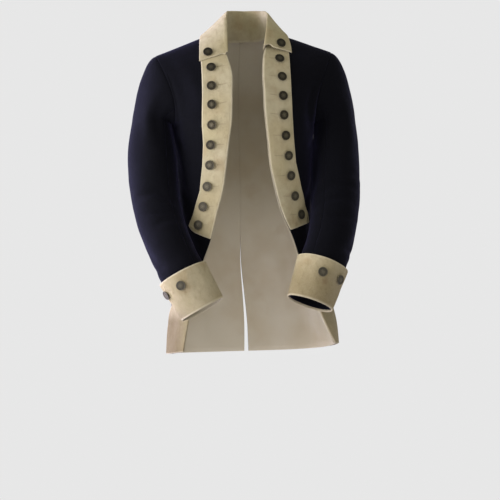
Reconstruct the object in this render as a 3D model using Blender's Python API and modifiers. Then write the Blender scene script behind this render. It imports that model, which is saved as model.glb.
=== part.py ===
"""A dark wool coat with buff facings, built as the pieces it is cut and sewn from.

The coat keeps its worn, hollow form. Each piece is an open surface given a cloth wall by Solidify.
The front faces -Y and the wearer's left is +X. The origin is where the shoulders carry the neck.
Sizes are in millimetres and turned into metres where points are placed.
"""

import math
from collections import namedtuple

import bmesh
import bpy
from mathutils import Matrix, Vector

MM = 0.001

# Cloth walls and the room between pieces
WOOL_WALL = 2.2
LINING_WALL = 1.2
LAPEL_WALL = 2.4
COLLAR_WALL = 3.0
CUFF_WALL = 2.6
LAYER_GAP = 0.8
SEAM_GAP = 0.7
ARMHOLE_GAP = 2.0
LINING_PAST_EDGE = 2.0

# How the coat hangs: the wearer's right side is a little lower, its front more so
TILT = 0.025
FRONT_DROP = 8.5

# Buttons
BUTTON_RADIUS = 11.0
BUTTON_SIDES = 10
LAPEL_BUTTON_X = 85.0
# Lapel buttons from the top down: height, and column of the lapel counted from the front edge
LAPEL_BUTTONS = {
    -1: [
        (-67, 1.9), (-109, 1.98), (-152, 1.91), (-199, 1.84), (-245, 1.96), (-292, 1.91),
        (-342, 1.94), (-389, 1.78), (-432, 1.66),
    ],
    1: [
        (-51, 1.74), (-92, 1.94), (-136, 1.93), (-180, 1.87), (-227, 1.88), (-274, 1.98),
        (-321, 1.84), (-369, 1.7), (-413, 1.82),
    ],
}
BUTTON_SEAT = 0.6

# Levels of the body table, counted from the hem
ARMPIT = 9
NAPE = 13
RIDGE = 14
NECK_HALF = 75.0
VENT_TOP = 4.4
VENT_OPEN = 5.0

# Skirt turnbacks: the panel rows they run over, and their widths at the hem and the top
TURNBACK_ROWS = [0, 0.5, 1, 1.5, 2, 2.35, 2.7]
TURNBACK_COLUMNS = 9
TURNBACK_LIFT = 1.0
TURNBACK_HEM_WIDTH = 105.0
TURNBACK_TOP_WIDTH = 8.0
TURNBACK_SWELL = 1.8

# Panel grids: shares of the way from the lapel's line or the middle seam to the side, and levels
FRONT_SHARES = [0.0, 0.2, 0.4, 0.6, 0.8, 0.965, 1.0]
BACK_SHARES = [0.0, 0.14, 0.28, 0.42, 0.56, 0.70, 0.85, 0.97, 1.0]
NEAR_ARMHOLE = 0.9
SKIRT_LEVELS = [0, 1.1, 2.2, 3.2, 4.0, 4.6, 5.3, 6.2, 7.2, 8.1]
SHOULDER_LEVELS = [13, 13.05, 13.2, 13.5, 13.85, 13.99]
PANEL_LEVELS = SKIRT_LEVELS + [9 + 4 * step / 6 for step in range(6)] + SHOULDER_LEVELS
LAST_ROW = len(PANEL_LEVELS) - 1
CORNER_RISE = {-1: 0.10, 1: 0.29}
SIDE_RISE = {-1: 0.0, 1: 0.29}
CORNER_LEVEL = 3.0

# Grid counts
SLEEVE_TOP_COLUMNS = 12
SLEEVE_UNDER_COLUMNS = 9
COLLAR_STEPS = 3
CUFF_COLUMNS = 24
CUFF_ROWS = 4

RIGHT = -1
LEFT = 1
SIDE_NAMES = {RIGHT: "right", LEFT: "left"}

# One row for each level of the body. z_front and z_back are heights on the middle line and z_end at
# the side seam or armhole; lean is the middle's x; half is the half width; front, back, end_front
# and end_back are depths; round_x and round_y shape the section; edge_right and edge_left are the
# distances of the front edges from the middle.
Level = namedtuple(
    "Level",
    "z_front z_back z_end lean half front back end_front end_back round_x round_y "
    "edge_right edge_left",
)
BODY = [
    Level(-732, -732, -732, 23, 199, 118, 150, 0, 0, 0.87, 0.87, 172, 196),
    Level(-665, -665, -665, 21, 194, 118, 146, 0, 0, 0.87, 0.87, 160, 164),
    Level(-598, -598, -598, 15, 182, 117, 140, 0, 0, 0.87, 0.87, 141, 141),
    Level(-532, -532, -532, 8, 170, 114, 130, 0, 0, 0.87, 0.87, 118, 122),
    Level(-468, -468, -468, 5, 160, 111, 117, 0, 0, 0.87, 0.87, 92, 104),
    Level(-408, -408, -408, 3, 156, 109, 106, 0, 0, 0.87, 0.87, 76, 79),
    Level(-350, -350, -350, 3, 156, 112, 102, 0, 0, 0.87, 0.87, 62, 62),
    Level(-290, -290, -292, 2, 158, 117, 105, 0, 0, 0.87, 0.87, 54, 50),
    Level(-240, -240, -244, 1, 161, 120, 110, 0, 0, 0.87, 0.87, 48, 46),
    Level(-195, -195, -204, 0, 165, 120, 114, 0, 0, 0.87, 0.87, 41, 42),
    Level(-158, -150, -184, 0, 164, 118, 116, 44, 48, 0.93, 1.20, 39, 39),
    Level(-118, -102, -142, 0, 168, 110, 114, 62, 66, 1.00, 1.60, 38, 38),
    Level(-72, -52, -96, 0, 181, 90, 104, 54, 60, 1.00, 1.80, 37, 38),
    Level(-19, 4, -53, 0, 198, 52, 78, 28, 34, 1.00, 1.80, 50, 46),
    Level(42, 42, -34, 0, 206, -8, 8, 0, 0, 1.00, 1.80, 75, 75),
]

# Distance of the lapels' outer edge from the middle, one for each level from LAPEL_START up
LAPEL_START = 3
LAPEL_EDGE = {
    -1: [162, 147, 127, 112, 106, 104, 106, 106, 105, 105, 105, 105],
    1: [146, 147, 139, 123, 110, 106, 104, 103, 102, 102, 102, 102],
}
LAPEL_COLUMN = 3

# Where the lapels start and end: heights at the foot, distances from the middle, levels at the top
LAPEL_FOOT_INNER = -457.0
LAPEL_FOOT_OUTER = -436.0
LAPEL_FOOT_INNER_X = 94.0
LAPEL_FOOT_OUTER_X = 142.0
LAPEL_FOOT_ROUND = 0.12
LAPEL_FOOT_ROW = 5
LAPEL_TOP = {-1: 12.95, 1: 13.35}
LAPEL_PAST_EDGE = 1.0

# One row for each ring of a sleeve: its centre, and half its width across and from front to back
Ring = namedtuple("Ring", "x y z wide deep")
SLEEVE = {
    RIGHT: [
        Ring(216, -4, -206, 47, 59),
        Ring(217, -20, -255, 54, 59),
        Ring(216, -37, -310, 56, 57),
        Ring(212, -56, -372, 55, 54),
        Ring(201, -80, -432, 54, 51),
        Ring(182, -112, -490, 52, 48),
        Ring(156, -137, -548, 52, 45),
        Ring(112, -146, -627, 51, 43),
    ],
    LEFT: [
        Ring(217, -4, -206, 49, 59),
        Ring(216, -20, -255, 53, 59),
        Ring(214, -36, -310, 55, 57),
        Ring(212, -54, -362, 56, 54),
        Ring(206, -79, -417, 54, 51),
        Ring(193, -108, -472, 53, 48),
        Ring(172, -137, -526, 53, 45),
        Ring(141, -156, -614, 51, 43),
    ],
}
CUFF_TOP_RING = 6
WRIST_RING = 7
CROWN_STEPS = 5
SLEEVE_TOP_SPAN = 122.0
SLEEVE_RADIUS = 50.0
CUFF_STAND_OFF = 8.0
CUFF_END_COVER = 4.0

# Buttons of each cuff: angle round the cuff from its outer side, and part of the way down it
CUFF_BUTTONS = {RIGHT: [(66.0, 0.27), (11.0, 0.285)], LEFT: [(86.0, 0.31), (37.0, 0.31)]}

# One row for each station of the collar, from the nape to its front end. The roll is the fold line.
# The edge lies over the body edge_x from the middle on the level edge_level, lifted off it. The
# rows before COLLAR_FRONT lie on the back, the others on the fronts.
Station = namedtuple("Station", "roll_x roll_y roll_z edge_x edge_level lift neck_level")
COLLAR = [
    Station(0, 68, 67, 0, 12.85, 7.0, 13.0),
    Station(34, 51, 67, 64, 13.25, 7.0, 13.15),
    Station(48, 4, 61, 94, 14.0, 7.0, 14.0),
    Station(48, -34, 20, 105, 13.45, 7.0, 13.5),
    Station(45, -62, -22, 108, 12.85, 7.0, 13.0),
]
COLLAR_LEAN = 9.0
COLLAR_FRONT = 2
LEVEL_HEIGHT = 52.0

# Collar buttons: stations in from the front end, and place down the section
COLLAR_BUTTONS = {-1: (1.1, 6.5), 1: (1.35, 6.1)}

COLOURS = {
    "navy_wool": ((0.012, 0.013, 0.035), 0.9, 0.0),
    "buff_wool": ((0.56, 0.49, 0.33), 0.9, 0.0),
    "cream_lining": ((0.60, 0.55, 0.42), 0.9, 0.0),
    "aged_metal": ((0.13, 0.12, 0.09), 0.45, 0.9),
}


def clear_scene():
    """Remove whatever the scene holds."""
    for item in list(bpy.data.objects):
        bpy.data.objects.remove(item, do_unlink=True)


def make_material(name):
    """Return a material with a Principled BSDF of the named colour."""
    colour, roughness, metallic = COLOURS[name]
    material = bpy.data.materials.new(name)
    material.use_nodes = True
    shader = material.node_tree.nodes["Principled BSDF"]
    shader.inputs["Base Color"].default_value = (*colour, 1.0)
    shader.inputs["Roughness"].default_value = roughness
    shader.inputs["Metallic"].default_value = metallic
    return material


def spline(rows, at):
    """Blend the columns of neighbouring rows smoothly at a fractional row number."""
    last = len(rows) - 1
    at = min(max(at, 0.0), float(last))
    index = min(int(at), last - 1)
    part = at - index
    before = rows[max(index - 1, 0)]
    start = rows[index]
    end = rows[index + 1]
    after = rows[min(index + 2, last)]
    blended = []
    for a, b, c, d in zip(before, start, end, after):
        bend = 2 * a - 5 * b + 4 * c - d
        twist = 3 * (b - c) + d - a
        blended.append(0.5 * (2 * b + (c - a) * part + bend * part**2 + twist * part**3))
    return start.__class__(*blended)


Face = namedtuple("Face", "z_mid z_end lean half y_mid y_end round_x round_y")


def face_rows(face):
    """List one face's levels, with a level of the other face past the ridge to round it."""
    rows = []
    for level in BODY:
        if face == "front":
            row = Face(level.z_front, level.z_end, level.lean, level.half, -level.front,
                       -level.end_front, level.round_x, level.round_y)
        else:
            row = Face(level.z_back, level.z_end, level.lean, level.half, level.back,
                       level.end_back, level.round_x, level.round_y)
        rows.append(row)
    return rows


FRONT_ROWS = face_rows("front")
BACK_ROWS = face_rows("back")
FACES = {
    "front": FRONT_ROWS + [BACK_ROWS[NAPE], BACK_ROWS[NAPE - 1]],
    "back": BACK_ROWS + [FRONT_ROWS[NAPE], FRONT_ROWS[NAPE - 1]],
}


def body_point(side, face, across, level):
    """Return the point of the body's surface, across being 0 at the middle and 1 at the side."""
    row = spline(FACES[face], level)
    y_end = min(row.y_end, 0.0) if face == "front" else max(row.y_end, 0.0)
    angle = math.radians(90) * min(max(across, 0.0), 1.0)
    wide = math.sin(angle) ** row.round_x
    deep = max(math.cos(angle), 0.0) ** row.round_y
    x = row.lean + side * row.half * wide
    y = y_end + (row.y_mid - y_end) * deep
    z = row.z_mid + (row.z_end - row.z_mid) * wide
    return Vector((x, y, z + TILT * x))


def surface_normal(point_at, a, b, step_a, step_b, outward):
    """Return the unit normal of a surface at two coordinates, on the side of outward."""
    along_a = point_at(a + step_a, b) - point_at(a - step_a, b)
    along_b = point_at(a, b + step_b) - point_at(a, b - step_b)
    normal = along_a.cross(along_b).normalized()
    if normal.dot(outward) < 0:
        normal = -normal
    return normal


def body_layer(side, face, across, level, offset):
    """Return a point of a layer that lies on the body, moved out by offset."""
    point = body_point(side, face, across, level)
    if offset == 0:
        return point
    inside = Vector((0, 0, min(point.z, -110.0)))
    inner_across = min(max(across, 0.01), 0.99)
    normal = surface_normal(
        lambda a, b: body_point(side, face, a, b),
        inner_across, level, 0.008, 0.03, point - inside,
    )
    if across > 0.99 and level < ARMPIT:
        normal.y = 0
    if across < 0.02:
        normal.x = 0
    return point + normal.normalized() * offset


def across_at(distance, level, face="front"):
    """Return across where the surface is at a distance from the middle line."""
    row = spline(FACES[face], level)
    share = min(max(distance / row.half, 0.0), 1.0)
    return math.asin(share ** (1 / row.round_x)) / math.radians(90)


def level_at(height, distance):
    """Return the front level whose surface is at a height, at a distance from the middle."""
    low = 0.0
    high = float(RIDGE)
    for _ in range(30):
        middle = (low + high) / 2
        point = body_point(LEFT, "front", across_at(distance, middle), middle)
        if point.z - TILT * point.x < height:
            low = middle
        else:
            high = middle
    return low


def front_edge(side, level):
    """Return the distance of the front edge from the middle line."""
    row = spline(BODY, level)
    return row.edge_left if side == LEFT else row.edge_right


def seam_end(face, level):
    """Return across at the side seam, half a seam gap short of the side."""
    depth = abs(spline(FACES[face], level).y_mid)
    return 1.0 - 0.6 * (SEAM_GAP / 2) / (depth * math.radians(90))


def lapel_line(side, level):
    """Return across on the line down a front that the lapel's outer edge follows."""
    start = across_at(front_edge(side, level), level)
    plain = start + 0.35 * (1 - start)
    if level < LAPEL_START:
        return plain
    edge = LAPEL_EDGE[side]
    place = min(level - LAPEL_START, len(edge) - 1)
    index = min(int(place), len(edge) - 2)
    distance = edge[index] + (edge[index + 1] - edge[index]) * (place - index)
    weight = min(level - LAPEL_START, 1.0)
    return plain + (across_at(distance, level) - plain) * weight


def nape_edge(level):
    """Return the distance of the back's inner edge: the middle seam, its vent and the neck."""
    if level < VENT_TOP:
        return SEAM_GAP / 2 + VENT_OPEN * (1 - level / VENT_TOP) ** 1.5
    if level < NAPE:
        return SEAM_GAP / 2
    return max(SEAM_GAP / 2, NECK_HALF * math.sqrt(1 - min(RIDGE - level, 1.0) ** 2))


def front_across(side, column, level):
    """Return across at a column of a front: its edge, the lapel's line, then on to the side."""
    start = across_at(front_edge(side, level), level)
    line = lapel_line(side, level)
    if column <= LAPEL_COLUMN:
        return start + (line - start) * column / LAPEL_COLUMN
    share = FRONT_SHARES[column - LAPEL_COLUMN]
    if 0.9 < share < 1 and level > ARMPIT:
        share = NEAR_ARMHOLE
    return line + (seam_end("front", level) - line) * share


def back_across(column, level):
    """Return across at a column of a back half, from the middle seam to the side."""
    start = across_at(nape_edge(level), level, "back")
    share = BACK_SHARES[column]
    if 0.9 < share < 1 and level > ARMPIT:
        share = (NEAR_ARMHOLE + 1) / 2
    return start + (seam_end("back", level) - start) * share


def hem_rise(side, face, share, level):
    """Return how much a half's hem is raised, share being the way from its inner edge."""
    fade = max(0.0, 1 - level / CORNER_LEVEL)
    if face == "back":
        return SIDE_RISE[side] * share**2 * fade
    return (SIDE_RISE[side] + (CORNER_RISE[side] - SIDE_RISE[side]) * (1 - share) ** 2) * fade


class Panel:
    """A front or back half as a grid of points, each with the way out of the cloth there."""

    def __init__(self, side, face):
        shares = FRONT_SHARES if face == "front" else BACK_SHARES
        self.columns = len(shares) - 1 + (LAPEL_COLUMN if face == "front" else 0)
        self.points = []
        self.outs = []
        for level in PANEL_LEVELS:
            points = []
            outs = []
            for column in range(self.columns + 1):
                height = level + hem_rise(side, face, column / self.columns, level)
                if face == "front":
                    across = front_across(side, column, height)
                else:
                    across = back_across(column, height)
                point = body_point(side, face, across, height)
                points.append(point)
                outs.append(body_layer(side, face, across, height, 1.0) - point)
            self.points.append(points)
            self.outs.append(outs)

    def at(self, column, row, offset=0.0):
        """Return a point of the panel between its grid points, moved out by offset."""
        c = min(int(max(column, 0)), self.columns - 1)
        r = min(int(max(row, 0)), LAST_ROW - 1)
        u = column - c
        v = row - r
        place = Vector()
        for grid, scale in ((self.points, 1.0), (self.outs, offset)):
            low = grid[r][c].lerp(grid[r][c + 1], u)
            high = grid[r + 1][c].lerp(grid[r + 1][c + 1], u)
            place += low.lerp(high, v) * scale
        return place

    def past_edge(self, row, distance):
        """Return the column that lies a distance before the panel's first one."""
        return -distance / (self.at(1, row) - self.at(0, row)).length


PANELS = {
    (side, face): Panel(side, face) for side in (RIGHT, LEFT) for face in ("front", "back")
}


def row_at(level):
    """Return the panel row, whole or not, that lies on a level."""
    for index in range(LAST_ROW):
        low = PANEL_LEVELS[index]
        high = PANEL_LEVELS[index + 1]
        if level <= high:
            return index + (level - low) / (high - low)
    return float(LAST_ROW)


def armhole_point(side, turn):
    """Return the armhole's edge at an angle round it: 0 shoulder, 90 front, 180 armpit."""
    face = "front" if turn <= 180 else "back"
    swing = turn if turn <= 180 else 360 - turn
    level = RIDGE - (RIDGE - ARMPIT) * swing / 180
    point = body_point(side, face, 1.0, level)
    return point + Vector((side * ARMHOLE_GAP, 0, -0.3))


def ring_frame(side, at):
    """Return a sleeve ring's centre, its down-arm, outer and front directions, and its sizes."""
    rows = SLEEVE[side]
    row = spline(rows, at)
    ahead = spline(rows, at + 0.02)
    behind = spline(rows, at - 0.02)
    centre = Vector((side * row.x, row.y, row.z))
    down = Vector((side * (ahead.x - behind.x), ahead.y - behind.y, ahead.z - behind.z))
    down.normalize()
    outer = Vector((side, 0, 0))
    outer = (outer - down * outer.dot(down)).normalized()
    front = down.cross(outer).normalized()
    if front.y > 0:
        front = -front
    return centre, down, outer, front, row


def ring_point(side, turn, at, offset=0.0, reach=0.0):
    """Return the point of a sleeve ring at an angle round it, moved out by offset."""
    centre, down, outer, front, row = ring_frame(side, at)
    angle = math.radians(turn)
    lift = outer * (row.wide + offset) * math.cos(angle)
    lift += front * (row.deep + offset) * math.sin(angle)
    return centre + lift + down * reach


def crown_point(side, turn, share):
    """Return a point between the armhole and the sleeve's first ring."""
    start = armhole_point(side, turn)
    end = ring_point(side, turn, 0.0)
    down = (ring_point(side, turn, 0.1) - end).normalized()
    chord = (end - start).length
    leave = Vector((side * 0.93, 0, -0.36)) * chord * 0.62
    arrive = down * chord * 0.95
    s = share
    blend = start * (2 * s**3 - 3 * s**2 + 1) + leave * (s**3 - 2 * s**2 + s)
    return blend + end * (3 * s**2 - 2 * s**3) + arrive * (s**3 - s**2)


def sleeve_point(side, turn, at):
    """Return a point of a sleeve: at is -1 at the armhole, 0 at its first ring, then the rings."""
    turn = turn % 360
    if at < 0:
        return crown_point(side, turn, at + 1)
    return ring_point(side, turn, at)


def sleeve_levels():
    """List the places along a sleeve where it has a ring of points."""
    levels = [step / CROWN_STEPS - 1 for step in range(CROWN_STEPS)]
    levels += [step / 2 for step in range(2 * WRIST_RING + 1)]
    return levels


def cuff_point(side, turn, share, offset=0.0):
    """Return a point of a cuff, share 0 at its free upper edge and 1 at the wrist."""
    at = CUFF_TOP_RING + share * (WRIST_RING - CUFF_TOP_RING)
    close = WOOL_WALL / 2 + LAYER_GAP + CUFF_WALL / 2
    stand = CUFF_STAND_OFF + (close - CUFF_STAND_OFF) * share**0.8
    reach = CUFF_END_COVER if share >= 1 else 0.0
    return ring_point(side, turn % 360, at, stand + offset, reach)


def lapel_rows(side, column):
    """List the panel rows of a lapel's points in one column, from its foot to its top."""
    drop = side * FRONT_DROP
    foot_in = level_at(LAPEL_FOOT_INNER + drop, LAPEL_FOOT_INNER_X)
    foot_out = level_at(LAPEL_FOOT_OUTER + drop / 2, LAPEL_FOOT_OUTER_X)
    share = column / LAPEL_COLUMN
    foot = foot_in + (foot_out - foot_in) * share
    if side == RIGHT:
        foot += LAPEL_FOOT_ROUND * max(0.0, (share - 0.6) / 0.4) ** 2
    foot = row_at(foot)
    top = row_at(LAPEL_TOP[side])
    rows = [foot, max(LAPEL_FOOT_ROW, foot + 0.08)]
    rows += range(LAPEL_FOOT_ROW + 1, math.ceil(top))
    return rows + [top]


def lapel_point(side, column, step, offset):
    """Return a point of a lapel, which lies on its front and just passes its edge."""
    panel = PANELS[side, "front"]
    row = lapel_rows(side, column)[step]
    if column == 0:
        column = panel.past_edge(row, LAPEL_PAST_EDGE)
    return panel.at(column, row, offset)


def round_skirt(side, row, length, offset):
    """Return the point on the skirt a length round from the front edge, moved out by offset."""
    front = PANELS[side, "front"]
    back = PANELS[side, "back"]
    stops = [(front, column) for column in range(front.columns + 1)]
    stops += [(back, column) for column in range(back.columns - 1, -1, -1)]
    walked = 0.0
    for (panel, column), (after, next_column) in zip(stops, stops[1:]):
        start = panel.at(column, row)
        end = after.at(next_column, row)
        span = (end - start).length
        if walked + span >= length:
            share = (length - walked) / span
            return panel.at(column, row, offset).lerp(after.at(next_column, row, offset), share)
        walked += span
    return back.at(0, row, offset)


def turnback_point(side, share, step, offset):
    """Return a point of a skirt turnback: a long triangle along the front edge."""
    row = TURNBACK_ROWS[step]
    rise = (row / TURNBACK_ROWS[-1]) ** TURNBACK_SWELL
    width = TURNBACK_HEM_WIDTH + (TURNBACK_TOP_WIDTH - TURNBACK_HEM_WIDTH) * rise
    if share == 0:
        panel = PANELS[side, "front"]
        return panel.at(panel.past_edge(row, LAPEL_PAST_EDGE), row, offset)
    return round_skirt(side, row, width * share, offset)


def collar_half():
    """List the stations of half a collar, blended between the rows of the table."""
    steps = range(COLLAR_STEPS * (len(COLLAR) - 1) + 1)
    return [(step / COLLAR_STEPS, spline(COLLAR, step / COLLAR_STEPS)) for step in steps]


def collar_neck(side, station):
    """Return where the collar's stand is sewn, just inside the neck edge."""
    at, row = station
    level = min(row.neck_level, float(RIDGE))
    if at < COLLAR_FRONT:
        distance = nape_edge(level) if at > 0 else 0.0
        point = body_point(side, "back", across_at(distance, level, "back"), level)
    else:
        point = body_point(side, "front", across_at(front_edge(side, level), level), level)
    towards = Vector((-point.x, 8 - point.y, 0)).normalized()
    inward = 2.4 + 3.6 * min(max(at - COLLAR_FRONT, 0), 1)
    return point + towards * inward + Vector((0, 0, 2.6 - 0.9 * min(at, 1)))


def collar_section(side, station):
    """List the points of the collar's section: stand, roll and fall."""
    at, row = station
    forward = max(0.0, at - COLLAR_FRONT) / 2
    drop = side * FRONT_DROP * forward
    neck = collar_neck(side, station)
    lean = COLLAR_LEAN * (1 - forward)
    roll = Vector((lean + side * row.roll_x, row.roll_y, row.roll_z + drop))
    if at < COLLAR_FRONT:
        level = row.edge_level + (RIDGE - row.edge_level) * max(0.0, at - 1) ** 2
        edge = body_layer(side, "back", across_at(row.edge_x, level, "back"), level, row.lift)
    else:
        level = min(row.edge_level + drop / LEVEL_HEIGHT, float(RIDGE))
        edge = body_layer(side, "front", across_at(row.edge_x, level), level, row.lift)
    out = edge - roll
    out.z = 0
    out.normalize()
    points = [neck.lerp(roll - out * 2.0, share) for share in (0.0, 0.45, 0.85)]
    points.append(roll + Vector((0, 0, 1.5)))
    start = roll + out * 3.0
    length = (edge - start).length
    leave = out * length * 0.2 * forward + (edge - start) * (0.95 - 0.45 * forward)
    arrive = (edge - start) * (1.05 - 0.1 * forward) - Vector((0, 0, 0.12)) * length * forward
    for s in (0.05, 0.3, 0.55, 0.8, 1.0):
        blend = start * (2 * s**3 - 3 * s**2 + 1) + leave * (s**3 - 2 * s**2 + s)
        points.append(blend + edge * (3 * s**2 - 2 * s**3) + arrive * (s**3 - s**2))
    return points


def collar_sections():
    """List the collar's sections from the wearer's right front end round to the left one."""
    half = collar_half()
    right = [collar_section(RIGHT, station) for station in reversed(half)]
    left = [collar_section(LEFT, station) for station in half]
    middle = [a.lerp(b, 0.5) for a, b in zip(right[-1], left[0])]
    return right[:-1] + [middle] + left[1:]


def add_object(name, mesh, material, collection):
    """Put a mesh in the collection as a named object with its material."""
    mesh.materials.append(material)
    item = bpy.data.objects.new(name, mesh)
    collection.objects.link(item)
    return item


def cloth(name, columns, rows, point_at, wall, material, collection, closed=False):
    """Make a piece of cloth from a grid that point_at places, and give it its wall."""
    mesh = bpy.data.meshes.new(name)
    shape = bmesh.new()
    bmesh.ops.create_grid(shape, x_segments=columns, y_segments=rows, size=0.5)
    for vertex in shape.verts:
        column = round((vertex.co.x + 0.5) * columns)
        row = round((vertex.co.y + 0.5) * rows)
        vertex.co = point_at(column, row) * MM
    if closed:
        bmesh.ops.remove_doubles(shape, verts=shape.verts, dist=0.00001)
    bmesh.ops.recalc_face_normals(shape, faces=shape.faces)
    shape.to_mesh(mesh)
    shape.free()
    mesh.shade_smooth()
    item = add_object(name, mesh, material, collection)
    solidify = item.modifiers.new("Cloth wall", "SOLIDIFY")
    solidify.thickness = wall * MM
    solidify.offset = 0.0
    return item


def make_body(materials, collection):
    """Make the fronts and back halves, and the lining behind each."""
    lining = -(WOOL_WALL / 2 + LAYER_GAP + LINING_WALL / 2)
    for (side, face), panel in PANELS.items():
        cloth(
            f"{face}_{SIDE_NAMES[side]}", panel.columns, LAST_ROW,
            lambda c, r, panel=panel: panel.at(c, r),
            WOOL_WALL, materials["navy_wool"], collection,
        )
        past = LINING_PAST_EDGE if face == "front" else 0.0
        cloth(
            f"lining_{face}_{SIDE_NAMES[side]}", panel.columns, LAST_ROW,
            lambda c, r, panel=panel, past=past: panel.at(
                panel.past_edge(r, past) if c == 0 else c, r, lining),
            LINING_WALL, materials["cream_lining"], collection,
        )


def make_sleeves(materials, collection):
    """Make each sleeve from a top half and an under half, parted at two seams."""
    levels = sleeve_levels()
    halves = (
        ("sleeve_top", SLEEVE_TOP_COLUMNS, -SLEEVE_TOP_SPAN, SLEEVE_TOP_SPAN),
        ("sleeve_under", SLEEVE_UNDER_COLUMNS, SLEEVE_TOP_SPAN, 360 - SLEEVE_TOP_SPAN),
    )
    gap = math.degrees(SEAM_GAP / 2 / SLEEVE_RADIUS)
    for side in (RIGHT, LEFT):
        for name, columns, start, end in halves:
            first = start + gap
            span = end - start - 2 * gap
            cloth(
                f"{name}_{SIDE_NAMES[side]}", columns, len(levels) - 1,
                lambda c, r, side=side, columns=columns, first=first, span=span: sleeve_point(
                    side, first + span * c / columns, levels[r]),
                WOOL_WALL, materials["navy_wool"], collection,
            )


def make_cuffs(materials, collection):
    """Make the turned-back cuffs, tubes that stand off the sleeves at their upper edge."""
    for side in (RIGHT, LEFT):
        cloth(
            f"cuff_{SIDE_NAMES[side]}", CUFF_COLUMNS, CUFF_ROWS,
            lambda c, r, side=side: cuff_point(
                side, 360 * (c % CUFF_COLUMNS) / CUFF_COLUMNS, r / CUFF_ROWS),
            CUFF_WALL, materials["buff_wool"], collection, closed=True,
        )


def make_facings(materials, collection):
    """Make the lapels, turnbacks and collar."""
    over = WOOL_WALL / 2 + LAYER_GAP + LAPEL_WALL / 2
    for side in (RIGHT, LEFT):
        cloth(
            f"lapel_{SIDE_NAMES[side]}", LAPEL_COLUMN, len(lapel_rows(side, 0)) - 1,
            lambda c, r, side=side: lapel_point(side, c, r, over),
            LAPEL_WALL, materials["buff_wool"], collection,
        )
        cloth(
            f"turnback_{SIDE_NAMES[side]}", TURNBACK_COLUMNS, len(TURNBACK_ROWS) - 1,
            lambda c, r, side=side: turnback_point(
                side, c / TURNBACK_COLUMNS, r, over + TURNBACK_LIFT),
            LAPEL_WALL, materials["buff_wool"], collection,
        )
    sections = collar_sections()
    cloth(
        "collar", len(sections) - 1, len(sections[0]) - 1,
        lambda c, r: sections[c][r],
        COLLAR_WALL, materials["buff_wool"], collection,
    )


def button_mesh():
    """Make the turned button: a shank, a flat underside, a rim and a low dome."""
    profile = [
        (0.0, 4.2), (BUTTON_RADIUS - 2.6, 3.6), (BUTTON_RADIUS - 0.8, 4.0),
        (BUTTON_RADIUS, 2.2), (4.0, 1.2), (4.0, 0.0), (0.0, 0.0),
    ]
    shape = bmesh.new()
    verts = [shape.verts.new((x * MM, 0, z * MM)) for x, z in profile]
    edges = [shape.edges.new(pair) for pair in zip(verts, verts[1:])]
    bmesh.ops.spin(
        shape, geom=verts + edges, cent=(0, 0, 0), axis=(0, 0, 1),
        angle=math.tau, steps=BUTTON_SIDES, use_merge=True,
    )
    bmesh.ops.remove_doubles(shape, verts=shape.verts, dist=0.00001)
    bmesh.ops.recalc_face_normals(shape, faces=shape.faces)
    mesh = bpy.data.meshes.new("button")
    shape.to_mesh(mesh)
    shape.free()
    mesh.shade_smooth()
    mesh.set_sharp_from_angle(angle=math.radians(40))
    return mesh


def place_button(name, mesh, point, normal, collection):
    """Place a button with its shank on a point, facing along the normal."""
    item = bpy.data.objects.new(name, mesh)
    turn = normal.to_track_quat("Z", "Y")
    item.matrix_world = Matrix.Translation(point * MM) @ turn.to_matrix().to_4x4()
    collection.objects.link(item)


def make_buttons(materials, collection):
    """Make the buttons of the lapels, collar and cuffs."""
    mesh = button_mesh()
    mesh.materials.append(materials["aged_metal"])
    seat = WOOL_WALL / 2 + LAYER_GAP + LAPEL_WALL
    for side in (RIGHT, LEFT):
        for number, (height, column) in enumerate(LAPEL_BUTTONS[side]):
            row = row_at(level_at(height, LAPEL_BUTTON_X))
            base = PANELS[side, "front"].at(column, row, seat)
            beyond = PANELS[side, "front"].at(column, row, seat + 1)
            normal = (beyond - base).normalized()
            name = f"button_lapel_{SIDE_NAMES[side]}_{number + 1}"
            place_button(name, mesh, base + normal * BUTTON_SEAT, normal, collection)
        for number, (turn, share) in enumerate(CUFF_BUTTONS[side]):
            base = cuff_point(side, turn, share)
            centre = ring_frame(side, CUFF_TOP_RING + share)[0]
            normal = surface_normal(
                lambda a, b, side=side: cuff_point(side, a, b), turn, share, 2, 0.05, base - centre,
            )
            base += normal * (CUFF_WALL / 2 + BUTTON_SEAT)
            name = f"button_cuff_{SIDE_NAMES[side]}_{number + 1}"
            place_button(name, mesh, base, normal, collection)
    place_collar_buttons(mesh, collection)


def place_collar_buttons(mesh, collection):
    """Place a button on each front end of the collar's fall."""
    sections = collar_sections()
    for side in (RIGHT, LEFT):
        inward, down = COLLAR_BUTTONS[side]
        ends = sections if side == RIGHT else sections[::-1]
        near = int(inward)
        row = int(down)
        corners = [ends[near + c][row + r] for c in (0, 1) for r in (0, 1)]
        near_end = corners[0].lerp(corners[1], down - row)
        base = near_end.lerp(corners[2].lerp(corners[3], down - row), inward - near)
        normal = (corners[1] - corners[0]).cross(corners[2] - corners[0]).normalized()
        if normal.y > 0:
            normal = -normal
        base += normal * (COLLAR_WALL / 2 + BUTTON_SEAT)
        place_button(f"button_collar_{SIDE_NAMES[side]}", mesh, base, normal, collection)


def main():
    clear_scene()
    collection = bpy.data.collections.new("coat")
    bpy.context.scene.collection.children.link(collection)
    materials = {name: make_material(name) for name in COLOURS}
    make_body(materials, collection)
    make_sleeves(materials, collection)
    make_cuffs(materials, collection)
    make_facings(materials, collection)
    make_buttons(materials, collection)


main()
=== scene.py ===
# %% [markdown]
# # A dark wool coat with buff facings
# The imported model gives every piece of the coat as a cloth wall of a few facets. This lesson dresses
# it: each piece is made again from the same measurements on a fine grid, with its creases, seams and
# stitches, and then it gets the finish of real wool, lining or metal. The model is a fixed frame, so
# everything here is in metres where points are placed, +Z is up and the coat faces -Y.

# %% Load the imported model
import math
from collections import namedtuple

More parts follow.
